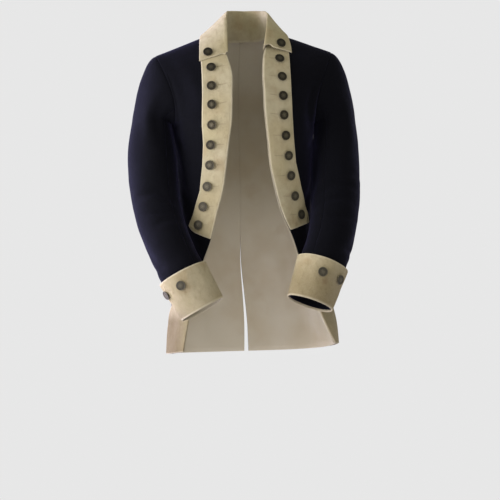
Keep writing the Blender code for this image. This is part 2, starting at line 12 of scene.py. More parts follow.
import bmesh
import bpy
from mathutils import Matrix, Vector, noise


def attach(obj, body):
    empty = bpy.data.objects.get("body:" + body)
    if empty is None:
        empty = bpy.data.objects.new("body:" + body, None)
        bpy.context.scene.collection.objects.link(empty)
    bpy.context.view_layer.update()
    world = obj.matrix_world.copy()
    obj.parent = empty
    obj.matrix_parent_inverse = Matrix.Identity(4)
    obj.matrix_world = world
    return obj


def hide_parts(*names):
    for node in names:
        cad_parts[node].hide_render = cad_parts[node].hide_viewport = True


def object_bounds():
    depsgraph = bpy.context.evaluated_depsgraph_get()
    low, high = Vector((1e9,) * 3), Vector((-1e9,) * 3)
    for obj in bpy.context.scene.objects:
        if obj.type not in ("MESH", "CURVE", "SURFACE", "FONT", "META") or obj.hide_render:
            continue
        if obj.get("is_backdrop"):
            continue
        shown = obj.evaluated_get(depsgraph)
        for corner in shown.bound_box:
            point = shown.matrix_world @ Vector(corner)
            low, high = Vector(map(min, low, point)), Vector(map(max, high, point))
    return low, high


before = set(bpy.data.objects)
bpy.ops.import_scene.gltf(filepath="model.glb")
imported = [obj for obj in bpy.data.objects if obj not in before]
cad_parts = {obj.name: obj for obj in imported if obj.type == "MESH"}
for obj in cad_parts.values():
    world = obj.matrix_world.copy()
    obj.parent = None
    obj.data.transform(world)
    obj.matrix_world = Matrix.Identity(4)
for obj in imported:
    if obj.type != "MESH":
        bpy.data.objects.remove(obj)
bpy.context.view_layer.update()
MM = 0.001
RIGHT = -1
LEFT = 1
SIDE_NAMES = {RIGHT: "right", LEFT: "left"}

# %% [markdown]
# ## Blending a table of measurements
# A tailor measures a body at a few levels and draws smooth lines between them. The code does the
# same: a table has one row for each level, and a Catmull-Rom curve runs through every column. It
# could be a NURBS surface, but a table shows plainly which number sets which width.

# %% A smooth blend through the rows of a table
def spline(rows, at):
    """Blend the columns of neighbouring rows smoothly at a fractional row number."""
    last = len(rows) - 1
    at = min(max(at, 0.0), float(last))
    index = min(int(at), last - 1)
    part = at - index
    before = rows[max(index - 1, 0)]
    start = rows[index]
    end = rows[index + 1]
    after = rows[min(index + 2, last)]
    blended = []
    for a, b, c, d in zip(before, start, end, after):
        bend = 2 * a - 5 * b + 4 * c - d
        twist = 3 * (b - c) + d - a
        blended.append(0.5 * (2 * b + (c - a) * part + bend * part**2 + twist * part**3))
    return start.__class__(*blended)


def hermite(start, leave, end, arrive, s):
    """Return a point of the curve that leaves start and arrives at end in given directions."""
    cubic = start * (2 * s**3 - 3 * s**2 + 1) + leave * (s**3 - 2 * s**2 + s)
    return cubic + end * (3 * s**2 - 2 * s**3) + arrive * (s**3 - s**2)


print("halfway from 0 to 10:", round(hermite(0.0, 10.0, 10.0, 10.0, 0.5), 3))

# %% [markdown]
# ## The body of the coat
# The fronts and the back of the real coat are cut flat and take their round form from the wearer and
# from their seams. Simulating that would lose the pose, so the body is drawn as level sections: a
# front and a back curve that meet at the side seams, or at the armholes higher up. Lengths are in
# millimetres.

# %% Measurements of the body
QUARTER = math.radians(90)
TILT = 0.025
FRONT_DROP = 8.5
ARMPIT = 9
NAPE = 13
RIDGE = 14
NECK_HALF = 75.0
VENT_TOP = 4.4
VENT_OPEN = 5.0
VENT_FLARE = 1.5
Level = namedtuple(
    "Level",
    "z_front z_back z_end lean half front back end_front end_back round_x round_y "
    "edge_right edge_left",
)
BODY = [
    Level(-732, -732, -732, 23, 199, 118, 150, 0, 0, 0.87, 0.87, 172, 196),
    Level(-665, -665, -665, 21, 194, 118, 146, 0, 0, 0.87, 0.87, 160, 164),
    Level(-598, -598, -598, 15, 182, 117, 140, 0, 0, 0.87, 0.87, 141, 141),
    Level(-532, -532, -532, 8, 170, 114, 130, 0, 0, 0.87, 0.87, 118, 122),
    Level(-468, -468, -468, 5, 160, 111, 117, 0, 0, 0.87, 0.87, 92, 104),
    Level(-408, -408, -408, 3, 156, 109, 106, 0, 0, 0.87, 0.87, 76, 79),
    Level(-350, -350, -350, 3, 156, 112, 102, 0, 0, 0.87, 0.87, 62, 62),
    Level(-290, -290, -292, 2, 158, 117, 105, 0, 0, 0.87, 0.87, 54, 50),
    Level(-240, -240, -244, 1, 161, 120, 110, 0, 0, 0.87, 0.87, 48, 46),
    Level(-195, -195, -204, 0, 165, 120, 114, 0, 0, 0.87, 0.87, 41, 42),
    Level(-158, -150, -184, 0, 164, 118, 116, 44, 48, 0.93, 1.20, 39, 39),
    Level(-118, -102, -142, 0, 168, 110, 114, 62, 66, 1.00, 1.60, 38, 38),
    Level(-72, -52, -96, 0, 181, 90, 104, 54, 60, 1.00, 1.80, 37, 38),
    Level(-19, 4, -53, 0, 198, 52, 78, 28, 34, 1.00, 1.80, 50, 46),
    Level(42, 42, -34, 0, 206, -8, 8, 0, 0, 1.00, 1.80, 75, 75),
]
Face = namedtuple("Face", "z_mid z_end lean half y_mid y_end round_x round_y")


def face_rows(face):
    """List the levels of the front or the back."""
    if face == "front":
        return [Face(v.z_front, v.z_end, v.lean, v.half, -v.front, -v.end_front, v.round_x,
                     v.round_y) for v in BODY]
    return [Face(v.z_back, v.z_end, v.lean, v.half, v.back, v.end_back, v.round_x, v.round_y)
            for v in BODY]


FRONT_ROWS = face_rows("front")
BACK_ROWS = face_rows("back")
FACES = {
    "front": FRONT_ROWS + [BACK_ROWS[NAPE], BACK_ROWS[NAPE - 1]],
    "back": BACK_ROWS + [FRONT_ROWS[NAPE], FRONT_ROWS[NAPE - 1]],
}


def body_point(side, face, across, level):
    """Return the point of the body's surface, across being 0 at the middle and 1 at the side."""
    row = spline(FACES[face], level)
    y_end = min(row.y_end, 0.0) if face == "front" else max(row.y_end, 0.0)
    angle = QUARTER * min(max(across, 0.0), 1.0)
    wide = math.sin(angle) ** row.round_x
    deep = max(math.cos(angle), 0.0) ** row.round_y
    x = row.lean + side * row.half * wide
    y = y_end + (row.y_mid - y_end) * deep
    z = row.z_mid + (row.z_end - row.z_mid) * wide
    return Vector((x, y, z + TILT * x))


print("top of the left shoulder seam:", body_point(LEFT, "front", 0.4, RIDGE))

# %% Directions out of the cloth, and places on it
CHEST_TOP = -110.0
SIDE_ACROSS = 0.99
MIDDLE_ACROSS = 0.02
ACROSS_STEP = 0.008
LEVEL_STEP = 0.03
HALVINGS = 30


def surface_normal(point_at, a, b, step_a, step_b, outward):
    """Return the unit normal of a surface at two coordinates, on the side of outward."""
    along_a = point_at(a + step_a, b) - point_at(a - step_a, b)
    along_b = point_at(a, b + step_b) - point_at(a, b - step_b)
    normal = along_a.cross(along_b).normalized()
    return -normal if normal.dot(outward) < 0 else normal


def body_out(side, face, across, level):
    """Return the way out of the body's surface."""
    point = body_point(side, face, across, level)
    inside = Vector((0, 0, min(point.z, CHEST_TOP)))
    near = min(max(across, 1 - SIDE_ACROSS), SIDE_ACROSS)
    normal = surface_normal(
        lambda a, b: body_point(side, face, a, b), near, level, ACROSS_STEP, LEVEL_STEP,
        point - inside)
    if across > SIDE_ACROSS and level < ARMPIT:
        normal.y = 0
    if across < MIDDLE_ACROSS:
        normal.x = 0
    return normal.normalized()


def across_at(distance, level, face="front"):
    """Return across where the surface is at a distance from the middle line."""
    row = spline(FACES[face], level)
    share = min(max(distance / row.half, 0.0), 1.0)
    return math.asin(share ** (1 / row.round_x)) / QUARTER


def level_at(height, distance):
    """Return the front level whose surface is at a height, at a distance from the middle."""
    low = 0.0
    high = float(RIDGE)
    for _ in range(HALVINGS):
        middle = (low + high) / 2
        point = body_point(LEFT, "front", across_at(distance, middle), middle)
        if point.z - TILT * point.x < height:
            low = middle
        else:
            high = middle
    return low


print("level of the lapels' foot:", round(level_at(-457, 94), 2))

# %% [markdown]
# ## Creases placed one by one
# Fulled wool is thick and soft: it buckles in a few long, shallow folds, never in even ripples. Each
# fold here is a line on the cloth with a width and a depth, and it fades at both ends and has a low
# ridge on one side. A cloth simulation would need the wearer inside and could not be steered to the
# folds the real coat shows, so the lines are placed one by one, and the hidden sides get like ones.

# %% Folds as soft lines
Fold = namedtuple("Fold", "a0 b0 a1 b1 width depth")
FOLD_FADE = 0.18
FADE_POWER = 1.3
FOLD_BOW = 0.12
FOLD_SLIM = 0.75
FOLD_FLARE = 0.6
RIDGE_SHARE = 0.55
RIDGE_PLACE = 1.8


def fold_height(folds, a, b):
    """Return how far the folds move the cloth out at a place on it, in millimetres."""
    total = 0.0
    for fold in folds:
        run_a = fold.a1 - fold.a0
        run_b = fold.b1 - fold.b0
        length = math.hypot(run_a, run_b)
        share = ((a - fold.a0) * run_a + (b - fold.b0) * run_b) / length**2
        if not -FOLD_FADE < share < 1 + FOLD_FADE:
            continue
        off = ((b - fold.b0) * run_a - (a - fold.a0) * run_b) / length
        off += FOLD_BOW * length * math.sin(math.pi * share) * math.sin(fold.a0 + fold.b1)
        ends = (share + FOLD_FADE) / (1 + 2 * FOLD_FADE)
        width = fold.width * (FOLD_SLIM + FOLD_FLARE * ends)
        fade = math.sin(math.pi * ends) ** FADE_POWER
        trough = math.exp(-((off / width) ** 2))
        ridge = math.exp(-((off / width - RIDGE_PLACE) ** 2))
        total += fold.depth * fade * (RIDGE_SHARE * ridge - trough)
    return total


Wander = namedtuple("Wander", "size height")
BODY_WANDER = (Wander(60.0, 0.9), Wander(21.0, 0.3))
SOFT_SIZE = 26.0


def unevenness(point, wanders):
    """Return a small wander of the cloth at a point, the same in every run."""
    return sum(each.height * noise.noise(point / each.size) for each in wanders)


def softness(point):
    """Return how far a loose layer lifts off the cloth under it at a point, 0 to 1 mm."""
    return 0.5 * (1 + noise.noise(point / SOFT_SIZE))


# Places on the body are its distance round from the middle line and its height.
QUARTER_ROUND = 230.0
BODY_FOLDS = {
    (RIGHT, "front"): [
        Fold(196, -92, 170, -235, 17, 3.2), Fold(128, -48, 118, -190, 22, -2.0),
        Fold(224, -206, 150, -268, 11, 2.6), Fold(222, -250, 172, -330, 12, 2.0),
        Fold(196, -338, 118, -428, 14, 2.2), Fold(214, -452, 204, -735, 20, 4.0),
        Fold(168, -540, 180, -738, 15, -2.6),
    ],
    (LEFT, "front"): [
        Fold(217, -184, 217, -440, 12, -3.4),
        Fold(190, -80, 160, -214, 19, 3.0), Fold(120, -70, 128, -236, 20, -1.8),
        Fold(226, -214, 158, -252, 10, 2.8), Fold(220, -280, 150, -392, 13, 2.4),
        Fold(176, -352, 112, -446, 12, 1.6), Fold(220, -430, 210, -735, 18, 3.6),
        Fold(186, -560, 190, -738, 13, -2.2),
    ],
    (RIGHT, "back"): [
        Fold(202, -128, 108, -196, 15, 2.8), Fold(212, -176, 150, -300, 14, 2.4),
        Fold(26, -64, 60, -176, 18, -1.6), Fold(12, -352, 150, -334, 10, 1.8),
        Fold(40, -392, 190, -372, 9, 1.5), Fold(56, -430, 70, -736, 24, 5.0),
        Fold(118, -452, 140, -738, 19, -4.0), Fold(176, -410, 196, -736, 20, 4.4),
    ],
    (LEFT, "back"): [
        Fold(206, -122, 120, -214, 14, 2.6), Fold(216, -190, 140, -286, 13, 2.2),
        Fold(34, -80, 48, -206, 16, -1.8), Fold(16, -338, 130, -352, 11, 1.7),
        Fold(60, -378, 206, -388, 9, 1.6), Fold(44, -446, 62, -736, 21, 4.4),
        Fold(104, -424, 122, -738, 22, -4.2), Fold(166, -448, 182, -736, 18, 4.8),
        Fold(217, -150, 217, -470, 9, -2.8), Fold(217, -196, 217, -268, 8, -2.4),
        Fold(217, -352, 217, -420, 8, -2.0),
    ],
}
print(sum(len(folds) for folds in BODY_FOLDS.values()), "folds on the body")

# %% [markdown]
# ## Halves of the body as fine grids
# Everything sewn to a front, its lapel, its lining and its turnback, has to lie on that front, folds
# included. So each half is worked out once as a grid of points with the way out of the cloth at each,
# and the layers are taken from that grid, moved out or in by their distance.

# %% Lines that divide a front
LAPEL_START = 3
LAPEL_EDGE = {
    RIGHT: [162, 147, 127, 112, 106, 104, 106, 106, 105, 105, 105, 105],
    LEFT: [146, 147, 139, 123, 110, 106, 104, 103, 102, 102, 102, 102],
}
CORNER_RISE = {RIGHT: 0.10, LEFT: 0.29}
SIDE_RISE = {RIGHT: 0.0, LEFT: 0.29}
CORNER_LEVEL = 3.0
SEAM_GAP = 0.2
SIDE_GAP_SHARE = 0.6
LAPEL_PART = 0.35


def front_edge(side, level):
    """Return the distance of the front edge from the middle line."""
    row = spline(BODY, level)
    return row.edge_left if side == LEFT else row.edge_right


def lapel_line(side, level):
    """Return across on the line down a front that the lapel's outer edge follows."""
    start = across_at(front_edge(side, level), level)
    plain = start + LAPEL_PART * (1 - start)
    if level < LAPEL_START:
        return plain
    edge = LAPEL_EDGE[side]
    place = min(level - LAPEL_START, len(edge) - 1)
    index = min(int(place), len(edge) - 2)
    distance = edge[index] + (edge[index + 1] - edge[index]) * (place - index)
    weight = min(level - LAPEL_START, 1.0)
    return plain + (across_at(distance, level) - plain) * weight


def nape_edge(level):
    """Return the distance of the back's inner edge: the middle seam, its vent and the neck."""
    if level < VENT_TOP:
        return SEAM_GAP / 2 + VENT_OPEN * (1 - level / VENT_TOP) ** VENT_FLARE
    if level < NAPE:
        return SEAM_GAP / 2
    return max(SEAM_GAP / 2, NECK_HALF * math.sqrt(1 - min(RIDGE - level, 1.0) ** 2))


def seam_end(face, level):
    """Return across at the side seam, a part of the seam gap short of the side."""
    depth = abs(spline(FACES[face], level).y_mid)
    return 1.0 - SIDE_GAP_SHARE * (SEAM_GAP / 2) / (depth * QUARTER)


print("front edges at the waist:", front_edge(RIGHT, 6), front_edge(LEFT, 6))

# %% A half of the body
LAPEL_COLUMNS = 16
SIDE_COLUMNS = 34
BACK_COLUMNS = 48
NEAR_EDGE = [0.0, 0.008, 0.02]
LEVELS = [0.125 * step for step in range(104)] + [13 + 0.04 * step for step in range(24)]
LEVELS += [13.96, 13.99]
LAST_ROW = len(LEVELS) - 1
COARSE_LAPEL = 3
COARSE_SIDE = 6
SEAM_DIP = 1.1
SEAM_REACH = 3.0
SIDE_CALM = 4
LEAST_MOVE = 0.1


def seam_dip(distance):
    """Return how far cloth dips at a distance from its seam."""
    return SEAM_DIP * math.exp(-distance / SEAM_REACH)


def spread(count):
    """List count + 1 shares from 0 to 1, with closer ones near both ends."""
    middle = count - 2 * len(NEAR_EDGE) + 2
    shares = NEAR_EDGE[:-1] + [
        NEAR_EDGE[-1] + (1 - 2 * NEAR_EDGE[-1]) * step / middle for step in range(middle + 1)]
    return shares + [1 - share for share in reversed(NEAR_EDGE[:-1])]


class Panel:
    """One half of the body: its points with their folds, and the way out at each."""

    def __init__(self, side, face):
        self.side = side
        self.face = face
        shares = spread(SIDE_COLUMNS if face == "front" else BACK_COLUMNS)
        self.columns = len(shares) - 1 + (LAPEL_COLUMNS if face == "front" else 0)
        self.points = []
        self.outs = []
        for level in LEVELS:
            places = [self.place(column, level, shares) for column in range(self.columns + 1)]
            points = [body_point(side, face, *place) for place in places]
            outs = [body_out(side, face, *place) for place in places]
            length = sum((b - a).length for a, b in zip(points, points[1:]))
            for index, (across, height) in enumerate(places):
                out = outs[index]
                move = fold_height(
                    BODY_FOLDS[side, face], across * QUARTER_ROUND, points[index].z)
                move += unevenness(points[index], BODY_WANDER)
                move *= min(1.0, SIDE_CALM * (1 - across) + LEAST_MOVE)
                share = shares[max(0, index - self.columns + len(shares) - 1)]
                move -= seam_dip(length * (1 - share))
                if face == "back":
                    move -= seam_dip(length * share)
                points[index] = points[index] + out * move
            self.points.append(points)
            self.outs.append(outs)

    def place(self, column, level, shares):
        """Return across and level of a column, with the front's corner raised at the hem."""
        fade = max(0.0, 1 - level / CORNER_LEVEL)
        if self.face == "back":
            level += SIDE_RISE[self.side] * shares[column] ** 2 * fade
            start = across_at(nape_edge(level), level, "back")
            return start + (seam_end("back", level) - start) * shares[column], level
        outer = max(0, column - LAPEL_COLUMNS)
        coarse = COARSE_LAPEL * min(column, LAPEL_COLUMNS) / LAPEL_COLUMNS
        share = (coarse + COARSE_SIDE * shares[outer]) / (COARSE_LAPEL + COARSE_SIDE)
        corner = (CORNER_RISE[self.side] - SIDE_RISE[self.side]) * (1 - share) ** 2
        level += (SIDE_RISE[self.side] + corner) * fade
        start = across_at(front_edge(self.side, level), level)
        line = lapel_line(self.side, level)
        if column <= LAPEL_COLUMNS:
            return start + (line - start) * column / LAPEL_COLUMNS, level
        return line + (seam_end("front", level) - line) * shares[outer], level

    def at(self, column, row, offset=0.0):
        """Return a point of the half between its grid points, moved out by offset."""
        c = min(int(max(column, 0)), self.columns - 1)
        r = min(int(max(row, 0)), LAST_ROW - 1)
        u = column - c
        v = row - r
        place = Vector()
        for grid, scale in ((self.points, 1.0), (self.outs, offset)):
            low = grid[r][c].lerp(grid[r][c + 1], u)
            high = grid[r + 1][c].lerp(grid[r + 1][c + 1], u)
            place += low.lerp(high, v) * scale
        return place

    def past_edge(self, row, distance):
        """Return the column that lies a distance before the half's first one."""
        return -distance / (self.at(1, row) - self.at(0, row)).length


def row_at(level):
    """Return the grid row, whole or not, that lies on a level."""
    for index in range(LAST_ROW):
        low = LEVELS[index]
        high = LEVELS[index + 1]
        if level <= high:
            return index + (level - low) / (high - low)
    return float(LAST_ROW)


PANELS = {
    (side, face): Panel(side, face) for side in (RIGHT, LEFT) for face in ("front", "back")
}
print({f"{face} {SIDE_NAMES[side]}": panel.columns * LAST_ROW
       for (side, face), panel in PANELS.items()})

# %% [markdown]
# ## Making a piece of cloth from a grid
# Every sewn piece is a grid of points on the middle of its wall. A Solidify modifier gives the wall,
# and a small Bevel rounds its cut edges, as pressing does. The grid also knows how long and wide the
# cloth is, which gives the size it was cut to, and a map in metres that the weave later follows.

# %% From points to a cloth piece
BEVEL_SHARE = 0.36
SHARP_ANGLE = math.radians(50)
Cut = namedtuple("Cut", "wide tall area")
FINISHES = {}


def add_object(name, data):
    """Put a mesh, light or camera in the scene under a name."""
    item = bpy.data.objects.new(name, data)
    bpy.context.scene.collection.objects.link(item)
    return item


def dress(item, finish):
    """Let a piece ride on the coat, and note the finish it gets later."""
    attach(item, "root")
    FINISHES[item] = finish
    return item


def measure(grid):
    """Return the widest, the tallest and the area of a grid of points, in metres."""
    wides = [sum((b - a).length for a, b in zip(row, row[1:])) for row in grid]
    talls = [sum((b - a).length for a, b in zip(line, line[1:])) for line in zip(*grid)]
    area = 0.0
    for low, high in zip(grid, grid[1:]):
        for a, b, c, d in zip(low, low[1:], high[1:], high):
            area += ((b - a).cross(c - a).length + (c - a).cross(d - a).length) / 2
    return Cut(max(wides), max(talls), area)


def cloth(name, columns, rows, place, wall, slot, closed=False):
    """Make a piece of cloth from the grid that place gives."""
    grid = [[place(c, r) * MM for c in range(columns + 1)] for r in range(rows + 1)]
    cut = measure(grid)
    across = columns if closed else columns + 1
    verts = [point for row in grid for point in row[:across]]
    faces = []
    corners = []
    edges = []
    for r in range(rows):
        for c in range(columns):
            ring = [(c, r), (c + 1, r), (c + 1, r + 1), (c, r + 1)]
            faces.append([across * y + x % across for x, y in ring])
            corners += [(x * cut.wide / columns, y * cut.tall / rows) for x, y in ring]
            for x, y in ring:
                side = 1.0 if closed else min(x, columns - x) * cut.wide / columns
                edges.append((side, min(y, rows - y) * cut.tall / rows))
    mesh = bpy.data.meshes.new(name)
    mesh.from_pydata(verts, [], faces)
    for map_name, places in (("cloth", corners), ("edges", edges)):
        layer = mesh.uv_layers.new(name=map_name)
        for loop, place_on in zip(layer.data, places):
            loop.uv = place_on
    mesh.shade_smooth()
    item = add_object(name, mesh)
    solidify = item.modifiers.new("Cloth wall", "SOLIDIFY")
    solidify.thickness = wall * MM
    solidify.offset = 0.0
    bevel = item.modifiers.new("Pressed edges", "BEVEL")
    bevel.width = wall * BEVEL_SHARE * MM
    bevel.segments = 2
    bevel.limit_method = "ANGLE"
    bevel.angle_limit = SHARP_ANGLE
    return dress(item, slot)


def declare(item, node):
    """Hide the solid that a cloth piece stands for."""
    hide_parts(node)

# %% [markdown]
# ## Fronts, back and lining
# The shell is dark wool, cut as two fronts and two back halves, seamed at the sides, the shoulders
# and the middle of the back. The lining hangs just inside and shows as a thin pale line along the
# front edges. All of them are taken from the halves' grids.

# %% Shell and lining
WOOL_WALL = 2.2
LINING_WALL = 1.2
LAYER_GAP = 0.8
LINING_PAST_EDGE = 2.0
LINING_STEP = 2
ARMPIT_ROW = row_at(ARMPIT)
ARMHOLE_SHORT = 2
LINING_OFFSET = -(WOOL_WALL / 2 + LAYER_GAP + LINING_WALL / 2)
for (side, face), panel in PANELS.items():
    name = f"{face}_{SIDE_NAMES[side]}"
    shell = cloth(
        f"cloth_{name}", panel.columns, LAST_ROW, lambda c, r, panel=panel: panel.points[r][c],
        WOOL_WALL, "navy_wool")
    declare(shell, name)
    past = LINING_PAST_EDGE if face == "front" else 0.0
    columns = panel.columns // LINING_STEP
    rows = LAST_ROW // LINING_STEP

    def lining_place(c, r, panel=panel, columns=columns, rows=rows, past=past):
        row = LAST_ROW * r / rows
        column = panel.columns * c / columns
        if c == 0:
            column = panel.past_edge(row, past)
        if row > ARMPIT_ROW:
            column = min(column, panel.columns - ARMHOLE_SHORT)
        return panel.at(column, row, LINING_OFFSET)

    lining = cloth(
        f"cloth_lining_{name}", columns, rows, lining_place, LINING_WALL, "cream_lining")
    declare(lining, f"lining_{name}")

# %% [markdown]
# ## Sleeves
# A coat sleeve is two strips, a wide top and a narrow under half, seamed front and back and bent at
# the elbow. It is drawn as oval rings along the arm and joined to the armhole by a smooth crown. The
# folds of a bent sleeve fan out from the inside of the elbow, and short ones gather over the cuff.

# %% Measurements of the sleeves
Ring = namedtuple("Ring", "x y z wide deep")
SLEEVE = {
    RIGHT: [
        Ring(216, -4, -206, 47, 59),
        Ring(217, -20, -255, 54, 59),
        Ring(216, -37, -310, 56, 57),
        Ring(212, -56, -372, 55, 54),
        Ring(201, -80, -432, 54, 51),
        Ring(182, -112, -490, 52, 48),
        Ring(156, -137, -548, 52, 45),
        Ring(112, -146, -627, 51, 43),
    ],
    LEFT: [
        Ring(217, -4, -206, 49, 59),
        Ring(216, -20, -255, 53, 59),
        Ring(214, -36, -310, 55, 57),
        Ring(212, -54, -362, 56, 54),
        Ring(206, -79, -417, 54, 51),
        Ring(193, -108, -472, 53, 48),
        Ring(172, -137, -526, 53, 45),
        Ring(141, -156, -614, 51, 43),
    ],
}
CUFF_TOP_RING = 6
WRIST_RING = 7
RING_STEP = 58.0
SLEEVE_RADIUS = 52.0
ARMHOLE_GAP = 0.5
ARMHOLE_DROP = 0.3
TOP_SPAN = 122.0
SLEEVE_WANDER = (Wander(48.0, 1.0), Wander(19.0, 0.35))

# Places on a sleeve are its distance round from the outer side, the front being positive, and its
# distance down from the first ring.
SLEEVE_FOLDS = {
    RIGHT: [
        Fold(34, 178, 128, 206, 10, 3.6), Fold(48, 214, 134, 226, 9, 3.0),
        Fold(18, 146, 112, 168, 11, 2.4), Fold(56, 252, 126, 246, 9, 2.2),
        Fold(-8, 262, 66, 352, 13, 2.6), Fold(-70, 236, -26, 340, 15, 2.4),
        Fold(24, -30, 44, 128, 20, 2.6), Fold(-28, 20, -14, 176, 18, -2.0),
        Fold(84, -38, 96, 70, 13, 2.8), Fold(-66, -36, -58, 96, 16, 2.4),
        Fold(-44, 318, 78, 330, 8, 1.6), Fold(-90, 150, -30, 196, 12, 1.8),
        Fold(150, 40, 158, 190, 14, 2.2), Fold(-128, 90, -140, 250, 15, 2.2),
    ],
    LEFT: [
        Fold(40, 170, 130, 194, 10, 3.4), Fold(44, 206, 128, 222, 9, 3.2),
        Fold(26, 238, 120, 250, 9, 2.2), Fold(12, 132, 104, 160, 11, 2.0),
        Fold(0, 256, 74, 344, 12, 2.4), Fold(-64, 228, -34, 332, 14, 2.6),
        Fold(16, -26, 30, 116, 19, 2.2), Fold(-34, 10, -24, 190, 17, -2.2),
        Fold(78, -34, 100, 84, 14, 2.8), Fold(-70, -30, -50, 110, 15, 2.2),
        Fold(-30, 312, 86, 326, 8, 1.8), Fold(-96, 160, -36, 182, 11, 1.9),
        Fold(146, 60, 160, 204, 13, 2.4), Fold(-132, 80, -144, 236, 15, 2.0),
    ],
}
print("rings to a sleeve:", len(SLEEVE[LEFT]))


# %% Sleeve surface
RING_REACH = 0.02
CROWN_WAY = (0.93, 0, -0.36)
CROWN_AIM = 0.1
CROWN_LEAVE = 0.62
CROWN_ARRIVE = 0.95
SHOULDER_IN = 40
SHOULDER_UP = 30
END_MARGIN = 0.04
TURN_STEP = 3.0


def armhole_point(side, turn):
    """Return the armhole's edge at an angle round it: 0 shoulder, 90 front, 180 armpit."""
    face = "front" if turn <= 180 else "back"
    swing = turn if turn <= 180 else 360 - turn
    level = RIDGE - (RIDGE - ARMPIT) * swing / 180
    return body_point(side, face, 1.0, level) + Vector((side * ARMHOLE_GAP, 0, -ARMHOLE_DROP))


def ring_frame(side, at):
    """Return a ring's centre, its down-arm, outer and front directions, and its sizes."""
    row = spline(SLEEVE[side], at)
    ahead = spline(SLEEVE[side], at + RING_REACH)
    behind = spline(SLEEVE[side], at - RING_REACH)
    down = Vector((side * (ahead.x - behind.x), ahead.y - behind.y, ahead.z - behind.z))
    down.normalize()
    outer = Vector((side, 0, 0))
    outer = (outer - down * outer.dot(down)).normalized()
    front = down.cross(outer).normalized()
    front = -front if front.y > 0 else front
    return Vector((side * row.x, row.y, row.z)), down, outer, front, row


def ring_point(side, turn, at, offset=0.0, reach=0.0):
    """Return the point of a ring at an angle round it, moved out by offset."""
    centre, down, outer, front, row = ring_frame(side, at)
    angle = math.radians(turn)
    lift = outer * (row.wide + offset) * math.cos(angle)
    lift += front * (row.deep + offset) * math.sin(angle)
    return centre + lift + down * reach


def crown_point(side, turn, share):
    """Return a point between the armhole and the sleeve's first ring."""
    start = armhole_point(side, turn)
    end = ring_point(side, turn, 0.0)
    down = (ring_point(side, turn, CROWN_AIM) - end).normalized()
    chord = (end - start).length
    leave = Vector((side * CROWN_WAY[0], *CROWN_WAY[1:])) * chord * CROWN_LEAVE
    return hermite(start, leave, end, down * chord * CROWN_ARRIVE, share)


def plain_sleeve(side, turn, at):
    """Return a sleeve's point before its folds: at is -1 at the armhole, then the ring."""
    turn = turn % 360
    return crown_point(side, turn, at + 1) if at < 0 else ring_point(side, turn, at)


def sleeve_out(side, turn, at):
    """Return the way out of a sleeve."""
    at = min(max(at, END_MARGIN - 1), WRIST_RING - END_MARGIN)
    centre = spline(SLEEVE[side], max(at, 0.0))
    middle = Vector((side * centre.x, centre.y, centre.z))
    point = plain_sleeve(side, turn, at)
    if at < 0:
        middle -= Vector((-side * SHOULDER_IN, 0, SHOULDER_UP)) * at
    return surface_normal(
        lambda a, b: plain_sleeve(side, a, b), turn, at, TURN_STEP, LEVEL_STEP, point - middle)


def sleeve_move(side, turn, at):
    """Return how far a sleeve's folds move it out."""
    turn = (turn + 180) % 360 - 180
    round_it = math.radians(turn) * SLEEVE_RADIUS
    move = fold_height(SLEEVE_FOLDS[side], round_it, at * RING_STEP)
    move += unevenness(plain_sleeve(side, turn, at), SLEEVE_WANDER)
    return move * min(1.0, 3.0 * (at + 1))


print("elbow of the left sleeve:", plain_sleeve(LEFT, 0, 3.5))

# %% Sleeves in two halves
SLEEVE_ROWS = 132
TOP_COLUMNS = 62
UNDER_COLUMNS = 36
CROWN_PART = 0.19
CROWN_HEIGHT = 75
HOLLOW_SIDE = math.degrees(SEAM_GAP / 2 / SLEEVE_RADIUS)


def make_half_sleeve(side, part, columns, start, end):
    """Make the top or the under half of a sleeve between two angles."""
    shares = spread(columns)
    span = end - start - 2 * HOLLOW_SIDE
    name = f"sleeve_{part}_{SIDE_NAMES[side]}"

    def place(c, r):
        down = r / SLEEVE_ROWS
        if down < CROWN_PART:
            at = down / CROWN_PART - 1
        else:
            at = (down - CROWN_PART) / (1 - CROWN_PART) * WRIST_RING
        turn = start + HOLLOW_SIDE + span * shares[c]
        move = sleeve_move(side, turn, at)
        from_seam = math.radians(span) * SLEEVE_RADIUS * min(shares[c], 1 - shares[c])
        move -= seam_dip(from_seam) + seam_dip((at + 1) * CROWN_HEIGHT)
        return plain_sleeve(side, turn, at) + sleeve_out(side, turn, at) * move

    half = cloth(f"cloth_{name}", len(shares) - 1, SLEEVE_ROWS, place, WOOL_WALL, "navy_wool")
    declare(half, name)


for side in (RIGHT, LEFT):
    make_half_sleeve(side, "top", TOP_COLUMNS, -TOP_SPAN, TOP_SPAN)
    make_half_sleeve(side, "under", UNDER_COLUMNS, TOP_SPAN, 360 - TOP_SPAN)

# %% [markdown]
# ## Cuffs
# Each cuff is a wide band of buff cloth, sewn to the sleeve's end and turned back over it, so its
# free upper edge stands off the sleeve. It is the sleeve's own surface moved out, more at the top,
# with a few dents where the thick cloth has softened.

